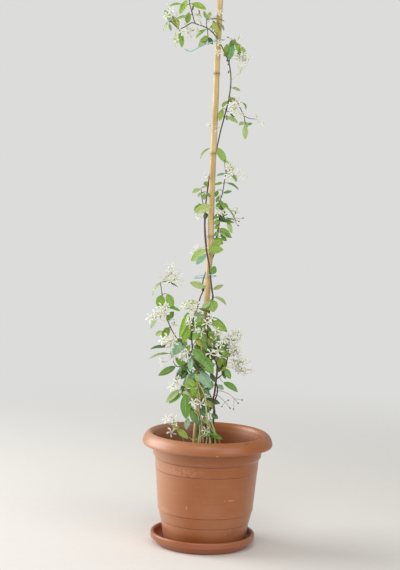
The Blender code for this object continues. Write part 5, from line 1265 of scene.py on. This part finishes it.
BUD_CLUSTERS = [  # the middle of a cluster of buds, how many, how far they spread, and the size of
    # their stars, or 0 for buds and -1 for dried ones
    ((-19.5, -6, 741), 4, 10, 0), ((-68, -10, 448.5), 3, 6, 0), ((16, -30, 433.5), 5, 9, 0),
    ((-101, -12, 1055), 5, 12, 0), ((-40.5, -6, 1060), 4, 10, 0), ((-58, -14, 1027), 4, 9, 0),
    ((33, -8, 879), 5, 10, 0), ((27.5, -10, 757), 5, 10, 0), ((44.5, -12, 676.5), 4, 9, 0),
    ((15, -14, 671.5), 4, 8, 0), ((-96, -30, 469), 5, 11, 0), ((-77, -28, 413), 5, 10, 0),
    ((-47, -24, 483.5), 5, 10, 0), ((30, -16, 418.5), 6, 11, 0), ((47, -14, 393), 6, 12, 0),
    ((63.5, -12, 363.5), 4, 12, 0), ((-38, -16, 436), 4, 9, 0), ((-59.5, -34, 334), 5, 9, 0),
    ((11.5, -26, 395), 4, 9, 0), ((-58, -44, 251.5), 5, 9, 0), ((-67, -30, 263), 4, 9, 0),
    ((22, -6, 1015.5), 3, 8, 0), ((51, -8, 973.5), 4, 10, 0), ((-77, -8, 554), 8, 9, 0),
    ((-67, -8, 540), 7, 8, 0), ((38.5, -10, 407), 8, 9, 0), ((52.5, -8, 396), 8, 10, 0),
    ((61.5, -6, 371), 5, 9, 0), ((46, -12, 417), 6, 8, 0), ((70, -6, 352), 5, 9, 0),
    ((-73, -30, 462.5), 5, 8, 0), ((-87, -32, 485), 5, 7, 0), ((-42.5, -30, 392.5), 4, 8, 0),
    ((-0.5, -30, 459), 3, 8, 0), ((18, -4, 965), 6, 7, -1), ((18.5, -4, 951), 3, 4, -1),
    ((49.5, -14, 433.5), 3, 10, 0.8), ((42, -12, 415.5), 4, 10, 0.8), ((57, -10, 432.5), 3, 8, 0.7),
    ((57.5, -10, 416.5), 3, 10, 0.75), ((40.5, -10, 397), 3, 10, 0.8),
    ((58.5, -8, 391.5), 3, 10, 0.75), ((67.5, -8, 371), 3, 10, 0.7), ((60, -8, 359), 3, 9, 0.65),
    ((74, -6, 349.5), 2, 9, 0.65), ((-73.5, -32, 417), 3, 10, 0.75), ((-37, -24, 477), 4, 11, 0.65),
    ((-38.5, -24, 457), 3, 9, 0.6), ((-54.5, -28, 384.5), 4, 12, 0.7),
    ((-90.5, -34, 479), 3, 10, 0.65), ((33, -10, 881), 3, 9, 0.6), ((17, -16, 675.5), 4, 8, 0.5),
    ((27.5, -12, 760.5), 4, 9, 0.5), ((41, -8, 981), 3, 8, 0.5), ((-45, -12, 1028), 3, 7, 0.5),
    ((-88, -14, 1009.5), 6, 12, 0)]
SPRAY_SEED, BUD_SEED = 50, 90
FLOWER_OUTWARD, FLOWER_LIGHT = 0.7, np.array([-0.12, -0.6, 0.25])
FLOWER_GUIDE = np.array([0.3, 0.0, 1.0])
STAR_RADIUS = 11.4
STAR_TWIST = np.radians(17)
STAR_DROOP, STAR_DROOPS = 1.2, (0.2, 1.5)
STAR_OPEN = (-2.6, 1.0)
PETAL_COUNT = 5
PETAL_START = 1.3
PETAL_RINGS = 9
PETAL_AROUND = 8
PETAL_WIDTH = 3.7
PETAL_WIDEST = 0.72
PETAL_ROOT, PETAL_GROWTH = 0.34, 0.66
PETAL_CLOSING, PETAL_BLUNT = 0.3, 0.96
PETAL_SLANT = 0.16
PETAL_THICKNESS = 0.34
PETAL_TURN, PETAL_TURNS = np.radians(24), (0.5, 1.4)
PETAL_CURL, PETAL_CURLS = 0.35, (-1, 1.4)
STALK_RADIUS = 0.6
STALK_PIECES, STALK_ARCH = 5, 0.03
PEDICEL_RADIUS = 0.36
PEDICEL_RINGS = 9
PEDICEL_AROUND = 10
PEDICEL_FOOT = 0.3
PEDICEL_OPEN = 1.1
FORK_SPREAD = 0.6
BUD_REACH = (12, 18)
BUD_WAY, BUD_WAYS = (0, -0.7, 0.6), 0.6
BUD_SCATTER, BUD_FORKS = 0.5, (0.4, 0.9)
BUD_STALK_BOW = np.array([0, -1, 1])
BUD_STALK_AROUND = 8
FLOWER_TUBE = [  # distance behind the star, radius and colour
    (7.6, 0.55, "stalk"), (7.4, 1.0, "cup"), (6.6, 1.25, "cup"), (5.4, 1.2, "cup"), (5.3, 0.75, "tube"),
    (3.6, 0.85, "tube"), (2.0, 1.25, "tube"), (1.0, 1.2, "tube"), (0.2, 1.6, "throat"),
    (-0.2, 1.5, "throat"), (-0.2, 1.0, "throat"), (0.5, 0.6, "eye")]
BUD_FORM = [  # as above, for a closed bud
    (9.6, 0.42, "stalk"), (9.4, 0.9, "cup"), (8.4, 1.1, "cup"), (7.6, 1.0, "cup"), (7.5, 0.7, "tube"),
    (6.0, 0.7, "tube"), (4.0, 0.95, "tube"), (2.2, 1.45, "petal"), (0.4, 1.5, "petal"),
    (-1.6, 1.1, "petal"), (-3.0, 0.55, "petal"), (-3.6, 0.12, "petal")]
DRY_FORM = [  # and for a dried one
    (3.4, 0.42, "stalk"), (3.2, 0.8, "dry"), (2.2, 1.1, "dry"), (1.0, 1.2, "dry"), (-0.4, 0.9, "dry"),
    (-1.4, 0.5, "dry"), (-1.8, 0.15, "dry")]
LIVE_SHARE = 0.82
FLOWER_TONES = {"stalk": (208, 214, 170), "cup": (194, 206, 154), "tube": (230, 228, 184),
                "throat": (240, 234, 190), "eye": (212, 194, 124), "petal": (243, 243, 232),
                "dry": (124, 92, 66)}
PETAL_BASE = (242, 240, 208)
PETAL_CLOUD = (228, 229, 208)
STALK_DEEP = (0.75, 0.72, 0.6, 1)
FLOWER_RELIEF = 0.0002


def flower_frames(hub, centres):
    """The way each flower faces, and two directions across it: away from the hub, and turned towards
    the front and the light."""
    facing = unit(unit(centres - hub) * FLOWER_OUTWARD + FLOWER_LIGHT)
    across = unit(FLOWER_GUIDE - facing * (facing @ FLOWER_GUIDE)[:, None])
    return facing, across, np.cross(facing, across)


def star_petals(centres, frames, size, draw):
    """Five petals a flower as closed lofts. A midline runs outwards at an angle that turns by the
    star's twist, and sinks by its droop times the square of the share u; a flower that isn't wide
    open droops forwards. The width grows smoothly from a third to the whole at PETAL_WIDEST, then
    closes like a circle to a slanting blunt tip."""
    facing, across, beside = (way[:, None, None] for way in frames)
    each_star, each_petal = (len(centres), 1, 1, 1), (len(centres), PETAL_COUNT, 1, 1)
    u = np.linspace(0.0, 1.0, PETAL_RINGS)
    angle = ((turns(PETAL_COUNT) + np.pi / PETAL_COUNT)[:, None] + STAR_TWIST * u)[None, ..., None]
    out = across * np.cos(angle) + beside * np.sin(angle)
    aside = beside * np.cos(angle) - across * np.sin(angle)
    radius = (PETAL_START + (STAR_RADIUS * size - PETAL_START) * u)[:, None]
    droop = STAR_DROOP * draw.uniform(*STAR_DROOPS, each_petal) + draw.uniform(*STAR_OPEN, each_star)
    middle = centres[:, None, None] + out * radius - facing * droop * (u ** 2)[:, None]
    grown = np.clip(u / PETAL_WIDEST, 0, 1)
    closed = np.clip((u - PETAL_WIDEST) / PETAL_CLOSING, 0, PETAL_BLUNT)
    full = PETAL_ROOT + PETAL_GROWTH * grown ** 2 * (3 - 2 * grown)
    shape = (full * np.sqrt(1 - closed ** 2))[:, None]
    tilt = (PETAL_TURN * np.sqrt(u))[:, None] * draw.uniform(*PETAL_TURNS, each_petal)
    side = aside * np.cos(tilt) + facing * np.sin(tilt)
    front = facing * np.cos(tilt) - aside * np.sin(tilt)
    turned = turns(PETAL_AROUND)
    slant = PETAL_SLANT * (u ** 3)[:, None]
    breadth = (np.cos(turned) * 0.5 + slant) * PETAL_WIDTH * np.sqrt(size) * shape
    curl = PETAL_CURL * np.cos(turned) ** 2 * shape * draw.uniform(*PETAL_CURLS, each_petal)
    lift = np.sin(turned) * 0.5 * PETAL_THICKNESS + curl
    spots = (middle[..., None, :] + side[..., None, :] * breadth[..., None]
             + front[..., None, :] * lift[..., None])
    faces = many_faces(len(centres) * PETAL_COUNT, PETAL_RINGS, PETAL_AROUND)
    along = np.broadcast_to(u[:, None], spots.shape[:-1]).ravel()
    return spots.reshape(-1, 3), faces, {"petal_along": along}


def flower_stalks(forks, centres, frames, form, radius):
    """A stalk for each flower or bud: a bent line from its fork that arrives along the flower's
    facing, then rings round that facing at the form's distances and radii."""
    facing, across, beside = (way[:, None] for way in frames)
    back = np.array([row[0] for row in form])[:, None]
    foot, forks = centres[:, None] - facing * (back[0] + PEDICEL_FOOT), forks[:, None]
    t = (np.arange(PEDICEL_RINGS) / PEDICEL_RINGS)[None, :, None]
    bow = foot - facing * BOW_SHARE * np.linalg.norm(foot - forks, axis=-1, keepdims=True)
    line = np.concatenate([bowed(forks, bow, foot, t), centres[:, None] - facing * back], 1)
    ahead = unit(np.gradient(line, axis=1))
    first = unit(across - ahead * (ahead * across).sum(-1, keepdims=True))
    second = np.cross(ahead, first)
    first[:, PEDICEL_RINGS:], second[:, PEDICEL_RINGS:] = across, beside
    thick = np.concatenate([radius + (PEDICEL_RADIUS - radius) * t[0, :, 0], [row[1] for row in form]])
    angle = turns(PEDICEL_AROUND)[:, None]
    spots = (line[:, :, None] + first[:, :, None] * (np.cos(angle) * thick[:, None, None])
             + second[:, :, None] * (np.sin(angle) * thick[:, None, None]))
    names = ["stalk"] * PEDICEL_RINGS + [row[2] for row in form]
    tones = np.array([paint(*FLOWER_TONES[name]) for name in names])
    tones = np.broadcast_to(tones[:, None], (*spots.shape[:3], 4)).reshape(-1, 4)
    return spots.reshape(-1, 3), many_faces(*spots.shape[:3]), {"flower_tone": tones}


def tube_part(path, radius, around, label, value):
    """A tube as places, faces and an attribute that is the same all over."""
    rings = tube_rings(path, radius, around)
    marks = np.broadcast_to(value, (rings.size // 3, *np.shape(value)))
    return rings.reshape(-1, 3), grid_faces(*rings.shape[:2]), {label: marks}


def together(parts):
    """Several (places, faces, attributes) lists as one, with the later faces' numbers moved on."""
    spots, faces, marks, count = [], [], {}, 0
    for some_spots, some_faces, some_marks in parts:
        faces += [[corner + count for corner in face] for face in some_faces]
        spots.append(some_spots)
        count += len(some_spots)
        for label, values in some_marks.items():
            marks.setdefault(label, []).append(values)
    return np.concatenate(spots), faces, {label: np.concatenate(values) for label, values in marks.items()}


def petal_finish():
    """Waxy white petals: cream at the throat, with faint lengthwise veins and a soft matte sheen."""
    made, tree, shader = finish_of("petal_skin", Roughness=0.5, Sheen_Weight=0.15, Subsurface_Weight=0.3,
                                   Subsurface_Radius=(1.0, 1.0, 0.9), Subsurface_Scale=0.003)
    cloud = noise(tree, own_places(tree), 420.0, 2.0)
    white = mixed(tree, spread(tree, cloud, *PATCHES, 0.0, 0.35), paint(*FLOWER_TONES["petal"]),
                  paint(*PETAL_CLOUD))
    outer = spread(tree, attribute_of(tree, "petal_along"), 0.02, 0.28)
    dress(tree, shader, mixed(tree, outer, paint(*PETAL_BASE), white), cloud, FLOWER_RELIEF)
    return made


def stalk_finish():
    """Smooth soft stalks, cups and tubes, each in its own tone with a faint mottle."""
    made, tree, shader = finish_of("stalk_skin", Roughness=0.5)
    tone = attribute_of(tree, "flower_tone", "Color")
    cloud = noise(tree, own_places(tree), 600.0, 2.0)
    deep = mixed(tree, 1.0, tone, STALK_DEEP, "MULTIPLY")
    colour = mixed(tree, spread(tree, cloud, 0.4, 0.7, 0.0, 0.5), tone, deep)
    dress(tree, shader, colour, cloud, FLOWER_RELIEF)
    return made


PETAL_FINISH = petal_finish()
STALK_FINISH = stalk_finish()
stalk_paint = paint(*FLOWER_TONES["stalk"])
for spray_seed, (spray, (parent, root, hub, size, centres)) in enumerate(SPRAYS.items(), SPRAY_SEED):
    dice = np.random.default_rng(spray_seed)
    hub, centres = swing(hub), swing(centres)
    start = nearest_on(PLANT_ROUTES[parent], swing([root]))[0]
    shares = FORK_SPREAD * (np.arange(len(centres)) - 0.5) / len(centres)
    forks = hub + (start - hub) * np.maximum(shares, 0.0)[:, None]
    ways = flower_frames(hub, centres)
    arch = np.array([0, 0, STALK_ARCH * np.linalg.norm(hub - start)])
    stem = smooth_path([start, start + (hub - start) * 0.5 + arch, hub], STALK_PIECES)
    thin = np.linspace(STALK_RADIUS, PEDICEL_RADIUS, len(stem))
    odd = forks[::2]
    aims = unit(dice.normal(BUD_WAY, BUD_WAYS, odd.shape))
    buds = odd + aims * dice.uniform(*BUD_REACH, (len(odd), 1))
    spots, faces, marks = together([
        tube_part(stem, thin, PEDICEL_AROUND, "flower_tone", stalk_paint),
        flower_stalks(forks, centres, ways, FLOWER_TUBE, PEDICEL_RADIUS * PEDICEL_OPEN),
        flower_stalks(odd, buds, flower_frames(hub, buds), BUD_FORM, PEDICEL_RADIUS)])
    piece(spray + "_stalks", spots, faces, STALK_FINISH, [spray], marks)
    spots, faces, marks = star_petals(centres, ways, size, dice)
    piece(spray + "_petals", spots, faces, PETAL_FINISH, [spray], marks)

bud_draw = np.random.default_rng(BUD_SEED)
bud_parts, star_parts = [], []
for middle, count, wide, size in BUD_CLUSTERS:
    middle = swing([middle])
    ends = middle + bud_draw.normal(0, BUD_SCATTER, (count, 3)) * wide
    start = nearest_on(sum(PLANT_ROUTES.values(), []), middle)
    fork = start + (middle - start) * bud_draw.uniform(*BUD_FORKS, (count, 1))
    bend = (start[0] + middle[0]) / 2 + BUD_STALK_BOW
    stem = smooth_path([start[0], bend, middle[0]], STALK_PIECES)
    bud_parts.append(tube_part(stem, PEDICEL_RADIUS, BUD_STALK_AROUND, "flower_tone", stalk_paint))
    live = bud_draw.uniform(0, 1, count) < (LIVE_SHARE if size == 0 else 0)
    if size > 0:
        ways = flower_frames(middle[0], ends)
        bud_parts.append(flower_stalks(fork, ends, ways, FLOWER_TUBE, PEDICEL_RADIUS))
        star_parts.append(star_petals(ends, ways, size, bud_draw))
        continue
    for form, some in ((BUD_FORM, live), (DRY_FORM, ~live)):
        if some.any():
            ways = flower_frames(middle[0], ends[some])
            bud_parts.append(flower_stalks(fork[some], ends[some], ways, form, PEDICEL_RADIUS))
for late, late_parts, finish in (("late_buds", bud_parts, STALK_FINISH),
                                 ("late_stars", star_parts, PETAL_FINISH)):
    spots, faces, marks = together(late_parts)
    piece(late, spots, faces, finish, (), marks)

# Spent flower stalks
# Bare brown stalks that have dropped their flowers, dry and brittle, each twig with a small open cup
# left at its end.
SPENT = {  # name: the stem it leaves, where, its route, and its cups
    "spent_stalk_upper": ("main_stem", (15.5, -6, 313), [
        (29, -9, 314), (45.5, -11, 309.5), (55, -12, 302.5), (62.5, -13, 295.5)],
        [(69.5, -14, 302), (54.5, -16, 283)]),
    "spent_stalk_lower": ("main_stem", (14, -6, 304), [
        (22, -10, 305), (30, -12, 298.5), (37, -14, 293.5), (46.5, -16, 284)],
        [(42.5, -18, 298), (31.5, -18, 285.5)]),
    "spent_calyces": ("second_stem", (12.5, 0, 656.5), [
        (26, -6, 662), (38, -8, 659.5), (50, -8, 656)],
        [(43, -10, 671), (49, -12, 648.5), (58, -8, 662.5)])}
SPENT_RADII = (0.6, 0.4)
SPENT_AROUND = 10
SPENT_PIECES = 6
TWIG_RADIUS = 0.36
TWIG_AROUND = 8
TWIG_RINGS = 5
SPENT_TONE = (132, 108, 80)
SPENT_LIGHT = (176, 156, 122)
SPENT_DARK = (104, 80, 58)
SPENT_CUP = (128, 102, 80)
SPENT_RELIEF = 0.0004
CUP_FORM = [  # distance along the cup and radius
    (-0.8, 0.4), (-0.3, 0.8), (0.5, 1.1), (1.4, 1.2), (2.5, 1.65), (2.4, 1.35), (1.3, 0.85),
    (0.7, 0.4)]
CUP_AROUND = 20
CUP_TEETH, CUP_TEETH_COUNT, CUP_MOUTH = 0.28, 5, 3
CUP_GUIDE = np.array([0.2, 1.0, 0.1])


def open_cups(places, ways):
    """Small five-toothed cups as closed lofts: rings at the form's distances along each way, whose
    radius grows by a share of the cosine of five turns towards the mouth."""
    ahead = unit(ways)[:, None, None]
    across = unit(np.cross(ahead, CUP_GUIDE))
    beside = np.cross(ahead, across)
    angle = turns(CUP_AROUND)[:, None]
    far, size = (column[:, None, None] for column in np.array(CUP_FORM).T)
    teeth = np.cos(CUP_TEETH_COUNT * angle) * np.clip(far / CUP_MOUTH, 0, 1) ** 2
    radius = size * (1 + CUP_TEETH * teeth)
    round_it = across * np.cos(angle) + beside * np.sin(angle)
    spots = places[:, None, None] + ahead * far + round_it * radius
    return spots.reshape(-1, 3), many_faces(*spots.shape[:3]), {"cup": np.ones(spots.size // 3)}


def spent_finish():
    """Dry brown stalk: fine lengthwise fibres and darker blotches, quite dull."""
    made, tree, shader = finish_of("spent_skin")
    fibre = grouped(tree, FIBRE, Fineness=STEM_FIBRES)
    colour = mixed(tree, fibre["Streaks"], paint(*SPENT_TONE), paint(*SPENT_LIGHT))
    colour = mixed(tree, times(tree, fibre["Blotches"], 0.5), colour, paint(*SPENT_DARK))
    colour = mixed(tree, attribute_of(tree, "cup"), colour, paint(*SPENT_CUP))
    rough = spread(tree, fibre["Blotches"], 0.0, 1.0, 0.6, 0.8)
    dress(tree, shader, colour, fibre["Height"], SPENT_RELIEF, rough)
    return made


SPENT_FINISH = spent_finish()
for spent, (parent, root, route, cups) in SPENT.items():
    route, cups = swing(route), swing(cups)
    start = nearest_on(PLANT_ROUTES[parent], swing([root]))
    line = smooth_path(np.concatenate([start, route]), SPENT_PIECES)
    parts = [tube_part(line, np.linspace(*SPENT_RADII, len(line)), SPENT_AROUND, "cup", 0.0)]
    forks = route[:-1][np.linalg.norm(route[:-1] - cups[:, None], axis=-1).argmin(1)]
    for fork, cup in zip(forks, cups):
        parts.append(tube_part(np.linspace(fork, cup, TWIG_RINGS), TWIG_RADIUS, TWIG_AROUND, "cup", 0.0))
    ends = np.concatenate([cups, route[-1:]])
    parts.append(open_cups(ends, np.concatenate([cups - forks, route[-1:] - route[-2:-1]])))
    spots, faces, marks = together(parts)
    piece(spent + "_stalk", spots, faces, SPENT_FINISH, [spent], marks)

# Studio
# The room it is shown in: a plain pale floor, an even grey surround, a large soft light from the
# left, a second from above the front and a weak one from the right, and the photograph's camera.
CAMERA_PLACE = (0.09935, -2.92755, 0.7846)
CAMERA_YAW, CAMERA_PITCH, CAMERA_ROLL = 0.04151, 0.0883, 0.03504
FOCAL_PIXELS, PICTURE_HEIGHT, SENSOR_HEIGHT = 1469.22, 570, 24.0
LIGHTS = [  # name, place and aim in metres, width, watts and colour
    ("window", (-2.5, 0.4, 1.25), (0, 0, 0.5), 2.2, 84.0, (0.98, 0.985, 0.99)),
    ("ceiling", (-0.3, -2.2, 2.8), (0, 0, 0.5), 1.6, 34.0, (1.0, 0.985, 0.96)),
    ("reflector", (1.9, -2.0, 1.6), (0, 0, 0.4), 2.0, 26.0, (0.97, 0.985, 1.0))]
SURROUND = (220, 220, 218)
SURROUND_LIGHT = 0.56
FLOOR_TONE = (226, 222, 216)
FLOOR_GRIT = (230, 227, 222)
FLOOR_FADE = (0.5, 2.2)
FLOOR_STEPS = 64


def camera_axes(yaw, pitch, roll):
    """The camera's right, up and backward directions: level ones turned by yaw, tipped down by pitch,
    then rolled about the line of sight."""
    level = np.array([np.cos(yaw), np.sin(yaw), 0.0])
    tipped = np.array([-np.sin(yaw) * np.sin(pitch), np.cos(yaw) * np.sin(pitch), np.cos(pitch)])
    right = np.cos(roll) * level + np.sin(roll) * tipped
    up = np.cos(roll) * tipped - np.sin(roll) * level
    return np.stack([right, up, np.cross(right, up)], 1)


def soft_light(name, place, aim, size, power, colour):
    """A square area light at a place, turned so that it shines at the aim."""
    lamp = bpy.data.lights.new(name, "AREA")
    lamp.shape, lamp.size, lamp.energy, lamp.color = "SQUARE", size, power, colour
    made = bpy.data.objects.new(name, lamp)
    made.location = place
    made.rotation_euler = (Vector(aim) - Vector(place)).to_track_quat("-Z", "Y").to_euler()
    bpy.context.scene.collection.objects.link(made)


scene = bpy.context.scene
scene.view_settings.view_transform = "Standard"
lens = bpy.data.cameras.new("camera")
lens.sensor_fit, lens.sensor_height = "VERTICAL", SENSOR_HEIGHT
lens.lens = FOCAL_PIXELS * SENSOR_HEIGHT / PICTURE_HEIGHT
camera = bpy.data.objects.new("camera", lens)
turned = Matrix(camera_axes(CAMERA_YAW, CAMERA_PITCH, CAMERA_ROLL).tolist()).to_4x4()
camera.matrix_world = Matrix.Translation(CAMERA_PLACE) @ turned
scene.collection.objects.link(camera)
scene.camera = camera
for light in LIGHTS:
    soft_light(*light)
world = bpy.data.worlds.new("surround")
world.use_nodes = True
world_tree = world.node_tree
background = world_tree.nodes["Background"]
background.inputs["Color"].default_value = paint(*SURROUND)
seen = add(world_tree, "LightPath").outputs["Is Camera Ray"]
glow = counted(world_tree, "MULTIPLY_ADD", seen, 1.0 - SURROUND_LIGHT, SURROUND_LIGHT)
feed(world_tree, background, "Strength", glow)
scene.world = world

FLOOR_FINISH, floor_tree, floor_shader = finish_of("floor_plain", Roughness=0.9)
floor_spot = own_places(floor_tree)
grit = noise(floor_tree, floor_spot, 60.0, 3.0)
feed(floor_tree, floor_shader, "Base Color",
     mixed(floor_tree, grit, paint(*FLOOR_TONE), paint(*FLOOR_GRIT)))
reach = add(floor_tree, "VectorMath", {0: floor_spot}, operation="LENGTH").outputs["Value"]
feed(floor_tree, floor_shader, "Alpha", spread(floor_tree, reach, *FLOOR_FADE, 1.0, 0.0))
floor_turn = turns(FLOOR_STEPS)
floor_edge = np.stack([np.cos(floor_turn), np.sin(floor_turn), 0 * floor_turn], -1) * FLOOR_FADE[1]
floor_mesh = bpy.data.meshes.new("floor")
floor_mesh.from_pydata(floor_edge.tolist(), [], [range(FLOOR_STEPS)])
floor_mesh.materials.append(FLOOR_FINISH)
floor = bpy.data.objects.new("floor", floor_mesh)
scene.collection.objects.link(floor)
